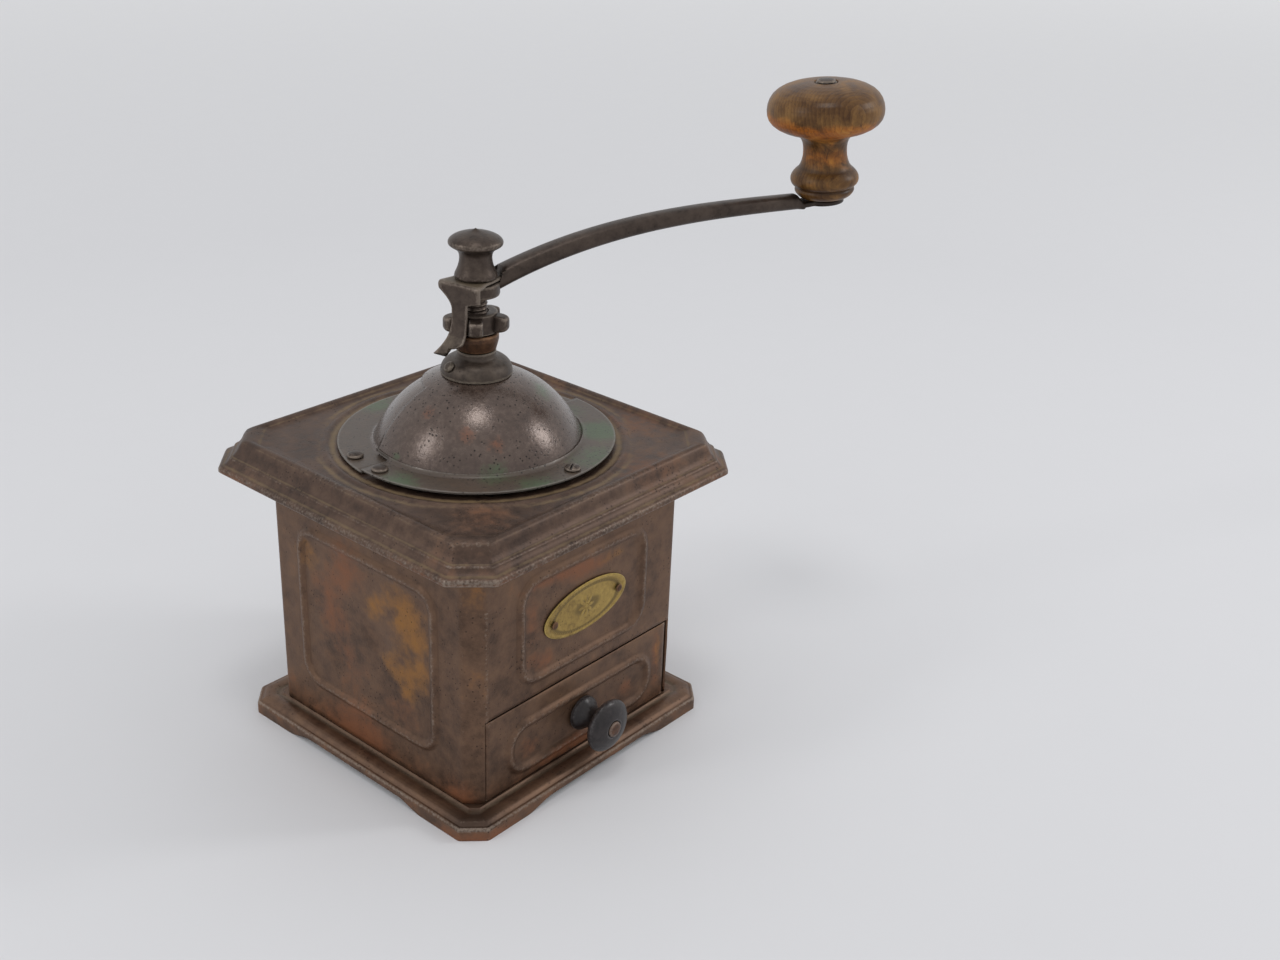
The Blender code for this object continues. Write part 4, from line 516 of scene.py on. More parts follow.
def square_ring(half, leg, shares, fillet=2.0):
    """Columns round a square with cut, softly rounded corners, on all four sides in turn."""
    reach = half - leg
    trim = fillet * np.tan(np.pi / 8)
    bend = np.radians([0, 15, 30, 45])
    arc_x, arc_y = reach - trim + fillet * np.sin(bend), -half + fillet * (1 - np.cos(bend))
    side_x = np.asarray(shares) * (reach - trim)
    x = np.concatenate([-arc_x[:0:-1], side_x, arc_x[1:]])
    y = np.concatenate([arc_y[:0:-1], np.full(len(side_x), -half), arc_y[1:]])
    turns = np.arange(4)[:, None] * np.pi / 2
    return np.stack([x * np.cos(turns) - y * np.sin(turns), x * np.sin(turns) + y * np.cos(turns)], -1)


def crowded(low, high, spots, reach, close, wide):
    """Numbers from low to high, close together near some spots and wide apart elsewhere."""
    at = [low]
    while at[-1] < high - close:
        near = min(abs(at[-1] - spot) for spot in spots) < reach
        at.append(at[-1] + (close if near else wide))
    return np.array(at[:-1] + [high])


def hump(across, up, half_width, low, high):
    """Height of a bead over the wall, from the signed distance to its rounded rectangle."""
    middle, tall = (low + high) / 2, (high - low) / 2
    dx = np.abs(across) - (half_width - BEAD_ROUND)
    dz = np.abs(up - middle) - (tall - BEAD_ROUND)
    apart = np.hypot(np.maximum(dx, 0), np.maximum(dz, 0)) + np.minimum(np.maximum(dx, dz), 0) - BEAD_ROUND
    return BEAD_RISE * unit(1 - (apart / BEAD_HALF) ** 2) ** 1.5


print("a bead is", 2 * BEAD_HALF, "mm wide and rises", BEAD_RISE, "mm")

# %% [markdown]
# ## The four walls
#
# Here the beads are raised, and use has left its traces: shallow dents, a seam at the front's
# left edge where the sheet's end laps over, and a strip right of the drawer that is bent in.
# The drawer's mouth is left out. Rust gathers near the feet and in the panels' corners, and the
# left wall has lost its finish in gold patches.

# %% Case walls
side = crowded(-1, 1, (-0.74, -0.665, 0.665, 0.74), 0.085, 0.009, 0.05)
side = np.sort(np.append(side, -0.992))
levels = crowded(BODY_LOW, BODY_HIGH, (17.8, 24.5, 38.5, 45.2, 62.3, 69.0, 70.5), 3.0, 0.4, 1.6)
levels = np.unique(np.append(levels, DRAWER_TOP))
ring = square_ring(BODY_HALF, BODY_CUT, side)
walls = np.zeros((len(levels),) + ring.shape[:2] + (3,))
walls[..., :2], walls[..., 2] = ring, levels[:, None, None]
for number, (half_width, low, high) in enumerate(PANELS):
    turn = number * np.pi / 2
    outward = np.array([np.sin(turn), -np.cos(turn), 0])
    along = walls[:, number, :, 0] * np.cos(turn) + walls[:, number, :, 1] * np.sin(turn)
    rise = hump(along, walls[:, number, :, 2], half_width, low, high)
    dents = 0.16 * unit(waves(walls[:, number], 34, 5 + number) - 0.15)
    flat = unit((BODY_HALF - BODY_CUT - np.abs(along)) / 4)
    walls[:, number] += (rise - dents * flat)[..., None] * outward
for y, z, depth in ((-5.5, 45, 0.45), (-18, 43, 0.4), (12, 30, 0.3)):
    walls[..., 0] += depth * blob(walls, (-BODY_HALF, y, z), (3, 5, 4))
lapped = (walls[:, 0, :, 0] < -38.75) & (walls[:, 0, :, 1] < -43) & (walls[:, 0, :, 2] < 68)
walls[:, 0, :, 1] -= LAP * lapped
walls[..., 0] += 1.2 * blob(walls, (BODY_HALF, -42.5, 20), (4, 6, 13)) * (walls[..., 0] > 40.3)
walls = walls.reshape(len(levels), -1, 3)
middles = (walls[:-1] + walls[1:] + np.roll(walls, -1, 1)[:-1] + np.roll(walls, -1, 1)[1:]) / 4
cut_out = ((middles[..., 1] < -42) & (middles[..., 0] > DRAWER_LEFT)
           & (middles[..., 0] < DRAWER_RIGHT) & (middles[..., 2] < DRAWER_TOP))


def case_marks(p):
    """Rust by the feet and in the corners of the panels, gold stains on the left wall, dust below."""
    left, front = np.abs(p[:, 0] + BODY_HALF) < 1.5, np.abs(p[:, 1] + BODY_HALF) < 1.5
    red = 0.30 * unit(1 - (p[:, 2] - BODY_LOW) / 14)
    for y, z, size in ((8.2, 64, 9), (10.3, 35, 11), (16.1, 49.5, 9), (5, 9, 14), (-39, 7.5, 8),
                       (-14, 26, 9)):
        red += 0.42 * left * blob(p, (-BODY_HALF, y, z), (3, size, size))
    for x, z, wide, tall in ((-13, 68.4, 13, 1.6), (-21.5, 56, 3.5, 11), (-18, 43, 6, 4), (0, 66, 14, 3),
                             (34, 21, 2.5, 9), (20, 17, 5, 4), (-6, 8.5, 14, 2.5), (-22, 17, 5, 4)):
        red += 0.48 * front * blob(p, (x, -BODY_HALF, z), (wide, 3, tall))
    corner = blob(p, (-43, -43, 72), (4, 4, 12)) + 0.6 * blob(p, (-43, -43, 44), (4, 4, 9))
    green = 0.6 * corner
    for y, z, size in ((-13.9, 61, 8), (-22, 57, 8), (-23, 36, 8), (-14.4, 32, 6), (-9, 38.3, 5),
                       (-3, 55, 5), (-19, 47, 9), (26, 62, 6)):
        green += 0.5 * left * blob(p, (-BODY_HALF, y, z), (3, size, size))
    for x, z, wide, tall in ((35, 22, 2, 8), (12, 66, 7, 2)):
        green += 0.5 * front * blob(p, (x, -BODY_HALF, z), (wide, 3, tall))
    return red + 0.3 * corner, green, 0.25 * unit(1 - (p[:, 2] - BODY_LOW) / 6)


skin("case_walls", [(walls, True, ~cut_out)], "case", case_steel, "body_shell",
     marks=case_marks, wall=0.9)

# %% [markdown]
# ## The base tray
#
# The tray under the case is one stamped plate. Its skirt stands on four corner feet, because the
# edge between them is cut away in a shallow scallop. Over the skirt comes a small step, then a
# soft shoulder, and a groove that runs round the foot of the case.

# %% Base tray
BASE_HALF, BASE_CUT, SKIRT, SCALLOP, FOOT = 51.75, 6.0, 3.3, 2.1, 0.672
MITRE = 2 - np.sqrt(2)
rim = fine([(0, 0), (0, 1.6), (0, 3.3), (0.25, 3.9), (0.8, 4.15), (1.2, 4.1), (1.5, 4.3), (2.2, 4.95),
            (3.2, 5.25), (4.4, 5.3), (5.6, 5.1), (6.3, 4.8), (6.7, 4.75), (7.2, 4.9), (7.55, 5.3),
            (9.0, 5.3), (20, 5.3), (35, 5.3), (51, 5.3)], 0.4)
rim = rim[(rim[:, 0] < 10) | (np.arange(len(rim)) % 12 == 0) | (rim[:, 0] > 50.9)]
along = np.linspace(-1, 1, 61)
tray = np.zeros((len(rim), 4, len(along) + 6, 3))
for row, (inset, height) in enumerate(rim):
    leg = max(BASE_CUT - inset * MITRE, (BASE_HALF - inset) * 0.05)
    tray[row, ..., :2] = square_ring(BASE_HALF - inset, leg, along, min(1.5, leg / 3))
    tray[row, ..., 2] = height
lift = np.pad(SCALLOP * eased((FOOT - np.abs(along)) / (FOOT * 0.34)), 3)
tray[..., 2] += unit(1 - tray[..., 2] / SKIRT) * lift


def tray_marks(p):
    """Rust along the skirt and low on the front corner, grime and painted shade over it, dust in the groove.
    """
    reach = np.maximum(np.abs(p[:, 0]), np.abs(p[:, 1]))
    corner, over = blob(p, (-49, -49, 0), (14, 14, 3)), blob(p, (-48, -48, 5), (13, 13, 6))
    # Green lays the dark second stain over the front corner: grime and painted shade.
    return (0.2 * (p[:, 2] < 3.6) + 0.35 * corner, 0.75 * over * (p[:, 2] > 3),
            0.75 * bell(reach, 45.3, 1.2))


skin("base_tray", [tray.reshape(len(rim), -1, 3)], "case", tray_grime_and_shade_steel,
     "base_plate", marks=tray_marks, wall=0.9)

# %% [markdown]
# ## The cover
#
# The cover is stamped like a picture frame: a lip, a hollow moulding with a fine ridge in the
# middle, a rolled rim, and a flat plate. A shallow ring was pressed round the hopper, and the
# mouth is punched in the middle. The rows start as squares with cut corners and end as circles.

# %% Cover
COVER_HALF, COVER_CUT, PLATE, RING, MOUTH = 57.25, 9.4, 92.6, 44.0, 29.2
cornice = fine([(0.3, 84.3), (0, 84.6), (0, 85.5), (0.35, 86.1), (0.95, 86.45), (1.5, 86.6), (2.2, 87.1),
                (2.75, 87.75), (3.0, 88.3), (3.4, 88.6), (3.9, 88.8), (4.4, 89.3), (4.9, 90.0),
                (5.3, 90.9), (5.6, 91.8), (5.9, 92.6), (6.3, 93.25), (6.9, 93.68), (7.5, 93.8),
                (8.2, 93.65), (8.8, 93.25), (9.3, 92.85), (9.8, 92.6)], 0.35)
legs = np.interp(cornice[:, 0], [0, 1.1, 2.9, 4.5, 6.6, 7.6, 8.7, 9.6],
                 COVER_CUT * np.array([1, 0.95, 0.85, 0.73, 0.71, 0.76, 0.88, 0.98]))
share = np.linspace(-1, 1, 57)
frame_rows = np.stack([np.concatenate([square_ring(COVER_HALF - inset, leg, share),
                                       np.full((4, len(share) + 6, 1), height)], -1)
                       for (inset, height), leg in zip(cornice, legs)]).reshape(len(cornice), -1, 3)
last = frame_rows[-1]
turn = np.arctan2(last[:, 1], last[:, 0])
rings = fine([(RING + 1.4, PLATE), (RING + 0.9, PLATE + 0.25), (RING + 0.3, PLATE + 0.48),
              (RING - 0.3, PLATE + 0.48), (RING - 0.9, PLATE + 0.25), (RING - 1.4, PLATE),
              (MOUTH, PLATE)], 0.5)
inner = lathe(rings, turn=turn)
between = last + (inner[0] - last) * np.linspace(0, 1, 6)[1:-1, None, None]
plate = np.concatenate([frame_rows, between, inner])
uneven = waves(plate, 45, 3) * (np.hypot(plate[..., 0], plate[..., 1]) < 46)
plate[..., 2] += 0.12 * (uneven - (plate[..., 2] > 92))


def cover_marks(p):
    """Dust in the ring and the mouldings' hollows, rust at the corners, on the lip and in patches."""
    far = np.hypot(p[:, 0], p[:, 1])
    dust = 0.85 * bell(far, 41.9, 1.3) + 0.7 * bell(far, 46.3, 1.2)
    for up, width in ((86.6, 0.28), (88.8, 0.22), (93.0, 0.2)):
        dust += 0.65 * bell(p[:, 2], up, width) * (far > 47)
    red = 0.25 * unit((far - 60) / 12) + 0.2 * (p[:, 2] < 85.5)
    for x, y, size in ((44, -22, 16), (20, -47, 12), (-36, -40, 10), (50, 10, 12)):
        red += 0.35 * blob(p, (x, y, PLATE), (size, size, 6))
    return red, 0.25 * (far < 43), dust


skin("cover_plate", [plate], "case", cover_steel, "top_cover", marks=cover_marks,
     wall=0.9)

# %% [markdown]
# ## The hopper's dome and its door
#
# The dome is two spun shells, one inside the other, on the same axis. The fixed one covers the
# front and the crown. The door fills the back and turns under it, so that it opens like an
# eyelid. Each is a grid of rows up a sphere, from which the cells of the open part are left out.
# A shallow wave stands for the marks of spinning and use.

# %% Dome and door
CENTRE, DOME_BALL, DOOR_BALL, FLANGE_TOP = 81.738, 33.6, 32.5, 94.7
DOME_FROM, DOME_TO, CROWN_FROM, DOOR_FROM, DOOR_TO, DOOR_RIM_TO = 174.5, 357, 160, -6, 178.5, 173.6


def sphere_rows(radius, from_radius, to_radius, step=0.8):
    """Rows up a sphere about the dome's centre, between two distances from the axis."""
    low, high = np.arccos(from_radius / radius), np.arccos(to_radius / radius)
    angle = np.linspace(low, high, round((high - low) * radius / step))
    return np.stack([radius * np.cos(angle), CENTRE + radius * np.sin(angle)], -1)


def headings(*exact, step=2.5):
    """Headings all the way round that include some exact ones, in radians."""
    every = np.arange(0, 360, step)
    apart = np.abs((every[:, None] - np.array(exact) + 180) % 360 - 180).min(1)
    return np.radians(np.sort(np.concatenate([every[apart > step / 2], np.array(exact) % 360])))


def shell_cells(rows, turn, first, last, narrow):
    """Which cells of a turned grid to keep: rows beyond a radius only between two headings."""
    middle = (turn + np.append(turn[1:], turn[0] + 2 * np.pi)) / 2
    inside = (np.degrees(middle) - first) % 360 < (last - first)
    far = (rows[:-1, 0] + rows[1:, 0]) / 2 > narrow
    return ~far[:, None] | inside[None, :]


rows = np.vstack([fine([(40.8, 94.45), (40.7, 94.62), (40.45, FLANGE_TOP), (32.6, FLANGE_TOP)], 0.6),
                  fine([(32.3, 94.72), (31.9, 94.85), (31.45, 95.2), (31.1, 95.65)], 0.3),
                  sphere_rows(DOME_BALL, 30.75, 4.9)])
turn = headings(CROWN_FROM, DOME_FROM, DOME_TO)
dome = lathe(rows, turn=turn)
dome += 0.05 * waves(dome, 16, 11)[..., None] * (dome - [0, 0, CENTRE]) / DOME_BALL
shell = (shell_cells(rows, turn, CROWN_FROM, DOME_TO, 16.0)
         & shell_cells(rows, turn, DOME_FROM, DOME_TO, 31.3))


def dome_marks(p):
    """Green and dust on the flange, more dust where it meets the shell, rust near the top."""
    far = np.hypot(p[:, 0], p[:, 1])
    flange = (far > 31.5) & (p[:, 2] < 95.2)
    green = 0.15 * flange
    for x, y, z, size in ((-39, -9, FLANGE_TOP, 7), (-12, -39, FLANGE_TOP, 8),
                          (12, -38, FLANGE_TOP, 9), (29, -26, FLANGE_TOP, 8),
                          (-6, 39, FLANGE_TOP, 7), (-30.2, 1, 96.3, 2.5), (-17.8, -25, 96, 6),
                          (24, -22, 98, 8), (12.8, -14.7, 109.1, 7), (30, -8, 97, 7)):
        green = green + 0.6 * blob(p, (x, y, z), (size, size, size * 0.5))
    red = 0.25 * flange + 0.12 * (far < 13)
    for x, y, z, size in ((-19, -15.6, 104.6, 3.2), (-21.1, -2.5, 107.8, 2.6), (-14.1, -22.4, 102.5, 3)):
        red = red + 0.42 * blob(p, (x, y, z), (size, size, size))
    return red, green, bell(far, 31.9, 1.3) * (p[:, 2] < 97) + 0.95 * flange


skin("dome_shell", [(dome, True, shell)], "case", dome_steel, "hopper_dome",
     marks=dome_marks, wall=0.8)

rows = np.vstack([fine([(40.5, 93.4), (40.4, 93.55), (40.2, 93.6), (30.9, 93.6)], 0.6),
                  fine([(30.6, 93.65), (30.35, 93.85)], 0.3), sphere_rows(DOOR_BALL, 30.1, 11.5)])
turn = headings(DOOR_FROM, DOOR_RIM_TO, DOOR_TO)
lid = lathe(rows, turn=turn)
lid += 0.04 * waves(lid, 16, 12)[..., None] * (lid - [0, 0, CENTRE]) / DOOR_BALL
shell = (shell_cells(rows, turn, DOOR_FROM, DOOR_TO, 14.8)
         & shell_cells(rows, turn, DOOR_FROM, DOOR_RIM_TO, 30.5))
skin("door_shell", [(lid, True, shell)], "door", dome_steel, "hopper_door",
     marks=dome_marks, wall=0.7)

# %% [markdown]
# ## Rivets and screws
#
# Every rivet here has the same head: a quarter of an ellipse on a shank. A screw's head is cut
# by a slot. To keep the slot's sides straight on a round grid, its columns bunch up along both
# edges of the slot: at radius r the edge lies at the heading whose sine is half the slot over r.


# %% Rivets and the slotted screw
def head_rows(radius, rise, shank, foot, seat=0.0, step=0.25):
    """A profile from the shank's foot up over a domed head whose underside is at the seat."""
    angle = np.linspace(0, np.pi / 2, 10)
    cap = np.stack([radius * np.cos(angle), seat + rise * (0.15 + 0.85 * np.sin(angle))], -1)
    cap[-1, 0] = 0
    return fine(np.vstack([[(0, foot), (shank, foot), (shank, seat), (radius, seat)], cap]), step)


def slotted(profile, slot, depth, top):
    """A lathe whose columns follow a straight slot, sunk by a depth below the top of the head."""
    r = np.maximum(profile[:, 0], 1e-4)[:, None]
    edge = np.arcsin(unit(slot / 2 / r)).clip(0, np.pi / 2 - 0.02)
    inside, outside = np.linspace(-1, 1, 7), np.linspace(0, 1, 16)
    near = [edge * inside, edge + 0.01 + (np.pi - 2 * edge - 0.02) * outside]
    turn = np.hstack([near[0], near[1], near[0] + np.pi, near[1] + np.pi])
    points = polar(r, turn, profile[:, 1:])
    cut = (np.abs(points[..., 1]) <= slot / 2 + 1e-3) & (points[..., 2] > top - depth)
    points[..., 2] = np.where(cut, top - depth, points[..., 2])
    return points


RIVET_CIRCLE = 37.2


def on_flange(heading):
    """The place at this heading, in degrees, on the circle of rivets."""
    return RIVET_CIRCLE * np.cos(np.radians(heading)), RIVET_CIRCLE * np.sin(np.radians(heading)), 0


HEAD, RISE, SHANK, SCREW_FOOT, SCREW_SEAT, DOOR_FOOT, DOOR_SEAT = 2.4, 1.0, 1.1, 90.1, 95.0, 92.9, 93.9
for name, body, heading, foot, seat, node in (
        ("dome_rivet_head", "case", 180.3, SCREW_FOOT, SCREW_SEAT, "dome_rivet"),
        ("door_rivet_head", "door", 159.0, DOOR_FOOT, DOOR_SEAT, "door_rivet")):
    grid = lathe(head_rows(HEAD, RISE, SHANK, foot, seat), 40)
    grid = placed(grid, np.radians(heading), origin=on_flange(heading))
    skin(name, [grid], body, forged_steel, node)
grid = slotted(head_rows(HEAD, RISE, SHANK, SCREW_FOOT, SCREW_SEAT), 0.7, 0.6, SCREW_SEAT + RISE)
skin("dome_screw_head", [placed(grid, 0.5, origin=on_flange(272.0))], "case", forged_steel,
     "dome_screw", sharp=30)

# %% [markdown]
# ## The collar
#
# The collar is turned. Its flank is most of a quarter of an ellipse, up to the hollow foot of a
# short neck. A flat spot is filed where the pin with the round head sits, which is a plane
# through the grid: points beyond it are brought back to it. The other two pins are filed flush.

# %% Collar with its pins
FOOT_R, NECK_R, COLLAR_FOOT, COLLAR_TOP = 10.4, 5.7, 114.588, 120.9
COLLAR_RISE = COLLAR_TOP - 2.1 - COLLAR_FOOT
angle = np.linspace(0, np.radians(72), 30)
flank = np.stack([NECK_R + (FOOT_R - NECK_R) * np.cos(angle), COLLAR_FOOT + COLLAR_RISE * np.sin(angle)], -1)
under = [(r, CENTRE + np.sqrt(33.9 ** 2 - r ** 2)) for r in (4.9, 7.6, 10.1, 10.38)]
neck = [(6.6, 118.72), (6.12, 118.95), (5.84, 119.3), (5.74, 119.7), (NECK_R, COLLAR_TOP - 0.2),
        (NECK_R - 0.2, COLLAR_TOP), (4.9, COLLAR_TOP), (4.9, under[0][1])]
profile = np.vstack([fine(under, 0.6), flank, fine(neck, 0.4)])
collar = lathe(profile, 180)
rise, inset = np.radians(39.0), FOOT_R - NECK_R
tilt = np.arctan2(np.cos(rise) / inset, np.sin(rise) / COLLAR_RISE)
pins = []
for number in range(3):
    a = np.radians(171.0) + number * 2 * np.pi / 3
    axis = np.array([np.sin(tilt) * np.cos(a), np.sin(tilt) * np.sin(a), np.cos(tilt)])
    r = NECK_R + inset * np.cos(rise)
    seat = np.array([r * np.cos(a), r * np.sin(a), COLLAR_FOOT + COLLAR_RISE * np.sin(rise)]) - 0.3 * axis
    if number == 0:
        past = (collar - seat) @ axis
        aside = np.linalg.norm(collar - seat - past[..., None] * axis, axis=-1)
        collar -= np.where((aside < 2.0) & (past > 0), past, 0)[..., None] * axis
    pins.append((a, seat))
skin("collar_turned", [collar], "case", collar_steel, "collar",
     marks=lambda p: (0.1, 0.15, 0.6 * bell(p[:, 2], 114.4, 0.5)))
ROUND_PIN, FLUSH_PIN = (1.7, 1.0, 0.9, -2.6, 0.3, 0.2), (0.9, 0.12, 0.8, -2.6, 0.25, 0.2)
for number, (a, seat) in enumerate(pins):
    grid = lathe(head_rows(*(FLUSH_PIN if number else ROUND_PIN)), 32)
    skin(f"collar_pin_head_{number + 1}", [placed(grid, a, tilt, seat)], "case", collar_steel,
         f"collar_pin_{number + 1}")

# %% [markdown]
# ## Sleeve and star nut
#
# The sleeve is turned from a copper alloy and swells a little, like a barrel. The star nut on
# it, which sets how fine the mill grinds, is cast. Its outline is a circle with five lobes
# whose corners follow a superellipse, and the lobes are lower than the hub.

# %% Sleeve and star nut
sleeve = fine([(3.6, 121.2), (5.5, 121.2), (5.75, 121.4), (5.85, 121.8), (6.25, 123.2), (6.5, 124.4),
               (6.5, 125.5), (6.35, 125.95), (6.0, 126.2), (3.6, 126.2), (3.6, 121.2)], 0.3)
skin("sleeve_turned", [lathe(sleeve, 72)], "sleeve", copper_alloy,
     "thrust_sleeve")

LOBES, FIRST_LOBE, HALF_LOBE, HUB, REACH = 5, np.radians(226.0), np.radians(16.5), 6.1, 9.65
NUT_FOOT, NUT_TOP, BORE, CHAMFER = 126.5, 132.5, 3.6, 0.93
rows = fine([(CHAMFER, NUT_FOOT), (1.0, NUT_FOOT + 0.25), (1.0, NUT_TOP - 0.25),
             (CHAMFER, NUT_TOP)], 0.18)
turn = around(300)
off = (turn - FIRST_LOBE + np.pi / LOBES) % (2 * np.pi / LOBES) - np.pi / LOBES
lobe = unit(1 - np.abs(off / HALF_LOBE) ** 4) ** 0.5
tall = unit(1 - np.abs((rows[:, 1] - 129.4) / 2.45) ** 5) ** 0.5
radius = HUB * rows[:, :1] + (REACH - HUB) * lobe * tall[:, None]
star = polar(radius, turn, rows[:, 1:])
bore = lathe(fine([(HUB * CHAMFER, NUT_TOP), (BORE, NUT_TOP), (BORE, NUT_FOOT),
                   (HUB * CHAMFER, NUT_FOOT)], 0.6), turn=turn)
skin("star_nut", [np.concatenate([star, bore[1:]])], "adjuster", forged_steel,
     "adjuster_nut", sharp=50)

# %% [markdown]
# ## The spindle
#
# The spindle is turned, and its top is threaded, then filed square for the crank's hub. A
# thread is a lathe whose radius also falls and rises with height plus heading, so that the
# crest climbs one pitch each turn.

# %% Spindle with its thread
PITCH, THREAD_DEPTH, ROD_R, SQUARE_LOW, SQUARE_HIGH = 1.25, 0.34, 3.3, 137.0, 142.1
low, high = (corner[2] * 1000 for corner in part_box("main_shaft"))
heights = np.concatenate([[42.2, 42.7], np.arange(46, 126, 4.0), np.arange(126, SQUARE_LOW + 0.01, 0.12)])
heights = np.unique(np.append(np.clip(heights, low, SQUARE_LOW), SQUARE_LOW))
turn = around(64)
phase = (heights[:, None] / PITCH - turn / (2 * np.pi)) % 1
threaded = unit(heights - 126.5) * unit((SQUARE_LOW - heights) / 0.6)
radius = ROD_R - THREAD_DEPTH * threaded[:, None] * (1 - np.abs(2 * phase - 1)) ** 0.8
radius[0] = ROD_R - 0.5
rod = polar(radius, turn, heights[:, None])
square = 2.2 / np.maximum(np.abs(np.cos(turn - CRANK_HEADING)), np.abs(np.sin(turn - CRANK_HEADING)))
upper = [polar(square, turn, z) for z in (SQUARE_LOW, SQUARE_HIGH)]
tip = lathe(np.array([(2.1, SQUARE_HIGH), (2.1, high - 0.2), (1.9, high), (0, high)]), turn=turn)
foot = lathe(np.array([(0, low)]), turn=turn)
skin("spindle_rod", [np.concatenate([foot, rod, upper, tip])], "spindle", forged_steel,
     "main_shaft")

# %% [markdown]
# ## The crank
#
# The crank was forged: a round hub, a bowed bar that tapers, and a flat tab that ends in a
# disc. The bar's section is a superellipse, given by the heights of its top and its bottom and
# by its width. A sharp shoulder below the bar stops it short of the tab.

# %% Crank
HUB_R, HUB_LOW, HUB_HIGH, TAB_START, TAB_HALF = 6.8, 137.3, 141.1, 106.3, 6.0
BAR_START, BAR_MIDDLE, BOW, RAISED, BAR_HALF, THINNER, TAB_GAUGE = 3.1, 139.77, 14.0, 0.95, 2.9, 0.6, 1.8
hub = fine([(0, HUB_LOW), (6.2, HUB_LOW), (6.65, HUB_LOW + 0.15), (HUB_R, HUB_LOW + 0.55),
            (HUB_R, HUB_HIGH - 0.6), (6.65, HUB_HIGH - 0.15), (6.2, HUB_HIGH), (0, HUB_HIGH)], 0.4)
run = np.concatenate([np.linspace(BAR_START, 7.2, 6), np.linspace(7.4, 104.0, 84),
                      np.linspace(104.3, 109.1, 33), np.linspace(109.6, CRANK_REACH, 10),
                      CRANK_REACH + TAB_HALF * np.sin(np.linspace(0, np.pi / 2, 16))[1:]])
share = unit((run - 4.76) / (TAB_START - 4.76))
taper = unit((run - BAR_START) / (TAB_START - BAR_START)) ** 0.8
bowed = BAR_MIDDLE + BOW * (1 - (1 - share) ** 3)
flat = BAR_MIDDLE + BOW + np.maximum(run - TAB_START, 0) * np.sin(-KNOB_LEAN)
spread, over, under = (eased((run - start) / reach)
                       for start, reach in ((104.6, 4.2), (104.4, 2.4), (106.7, 0.6)))
half_bar = BAR_HALF - THINNER * taper
top = (bowed + RAISED + half_bar) * (1 - over) + (flat + TAB_GAUGE / 2) * over
bottom = (bowed + RAISED - half_bar) * (1 - under) + (flat - TAB_GAUGE / 2) * under
middle = (top + bottom) / 2
disc = 2 * np.sqrt(np.maximum((TAB_HALF + 0.01) ** 2 - (run - CRANK_REACH) ** 2, 1e-4))
wide = np.where(run < CRANK_REACH, np.maximum(7.4 - 1.6 * taper, disc), disc)
tall = (top - bottom) * np.clip((CRANK_REACH + TAB_HALF + 0.01 - run) / 0.5, 0.02, 1) ** 0.5
slope = np.gradient(bowed, run) * (1 - spread) + np.sin(-KNOB_LEAN) * spread
turn = around(28)
power = (2.6 + 2.4 * spread)[:, None]
cx, cz = (np.sign(f) * np.abs(f) ** (2 / power) for f in (np.cos(turn)[None], np.sin(turn)[None]))
lean = np.arctan(slope)[:, None]
bar = np.stack([run[:, None] - np.sin(lean) * cz * tall[:, None] / 2, cx * wide[:, None] / 2,
                middle[:, None] + np.cos(lean) * cz * tall[:, None] / 2], -1)[:, ::-1]
over_hub = np.hypot(bar[..., 0], bar[..., 1]) < 7.3
bar[..., 2] = np.where(over_hub, np.minimum(bar[..., 2], HUB_HIGH), bar[..., 2])


def capped(tube):
    """A tube with each end closed by a ring whose points all lie at the end's middle."""
    ends = [np.repeat(ring.mean(0)[None, None], tube.shape[1], 1) for ring in (tube[0], tube[-1])]
    return np.concatenate([ends[0], tube, ends[1]])


bar = capped(bar)
bar[..., 1] += 0.05 * waves(bar, 18, 21)
skin("crank_forging", [placed(lathe(hub, 64), CRANK_HEADING), placed(bar, CRANK_HEADING)], "spindle",
     forged_steel, "crank_arm", sharp=50)

# %% [markdown]
# ## The spring leaf and the top nut
#
# The leaf is cut from spring steel: a plate under the nut, a sharp fold down, a narrow neck and
# a tail that curls out, whose tip clicks over the lobes of the star nut. Its path is a line of
# places with a width and a drift to one side. Two curves narrow its left and right edges. The
# nut that clamps it is turned, with a waist, a disc and a point.

# %% Leaf
LEAF_HEADING, GAUGE, LEAF_MIDDLE, FOLD, FOLD_R, NECK_TOP = np.radians(190.0), 0.7, 141.75, 7.7, 0.8, 139.35
DROP, CURL, TAIL, DRIFT = 5.0, 4.3, 12.6, 1.9
path = [(-5.2, LEAF_MIDDLE, 8.6, 0), (-4.6, LEAF_MIDDLE, 10.6, 0), (-3.6, LEAF_MIDDLE, 11.7, 0),
        (3.0, LEAF_MIDDLE, 12.2, 0), (FOLD - FOLD_R, LEAF_MIDDLE, 14.2, 0)]
path += [(FOLD - FOLD_R * (1 - np.sin(b)), LEAF_MIDDLE - FOLD_R * (1 - np.cos(b)), 14.4, 0)
         for b in np.linspace(0, np.pi / 2, 5)[1:]]
path += [(FOLD, LEAF_MIDDLE - 1.6, 14.2, 0), (FOLD, NECK_TOP, 14.0, 0)]
path += [(FOLD, NECK_TOP - DROP * s, 14.0, 0) for s in np.linspace(0, 1, 9)[1:]]
path += [(FOLD + CURL * s ** 3, NECK_TOP - DROP - TAIL * s, 14.0, DRIFT * s ** 3)
         for s in np.linspace(0, 1, 19)[1:]]
path = fine(path, 0.5)
ahead = np.gradient(path[:, :2], axis=0)
ahead /= np.linalg.norm(ahead, axis=1)[:, None]
normal = np.stack([-ahead[:, 1], ahead[:, 0]], -1)
lap = np.linspace(-0.97, 0.97, 11)
corner = np.array([(-1, -0.6), *((s, -1) for s in lap), (1, -0.6), (1, 0.6), *((s, 1) for s in lap[::-1]),
                   (-1, 0.6)])
low = NECK_TOP - path[:, 1:2]
hollow, step, tail = (unit(v) for v in ((low + 0.6) / 5.4, (low - 2.0) / 0.8, (low - 8) / 9.6))
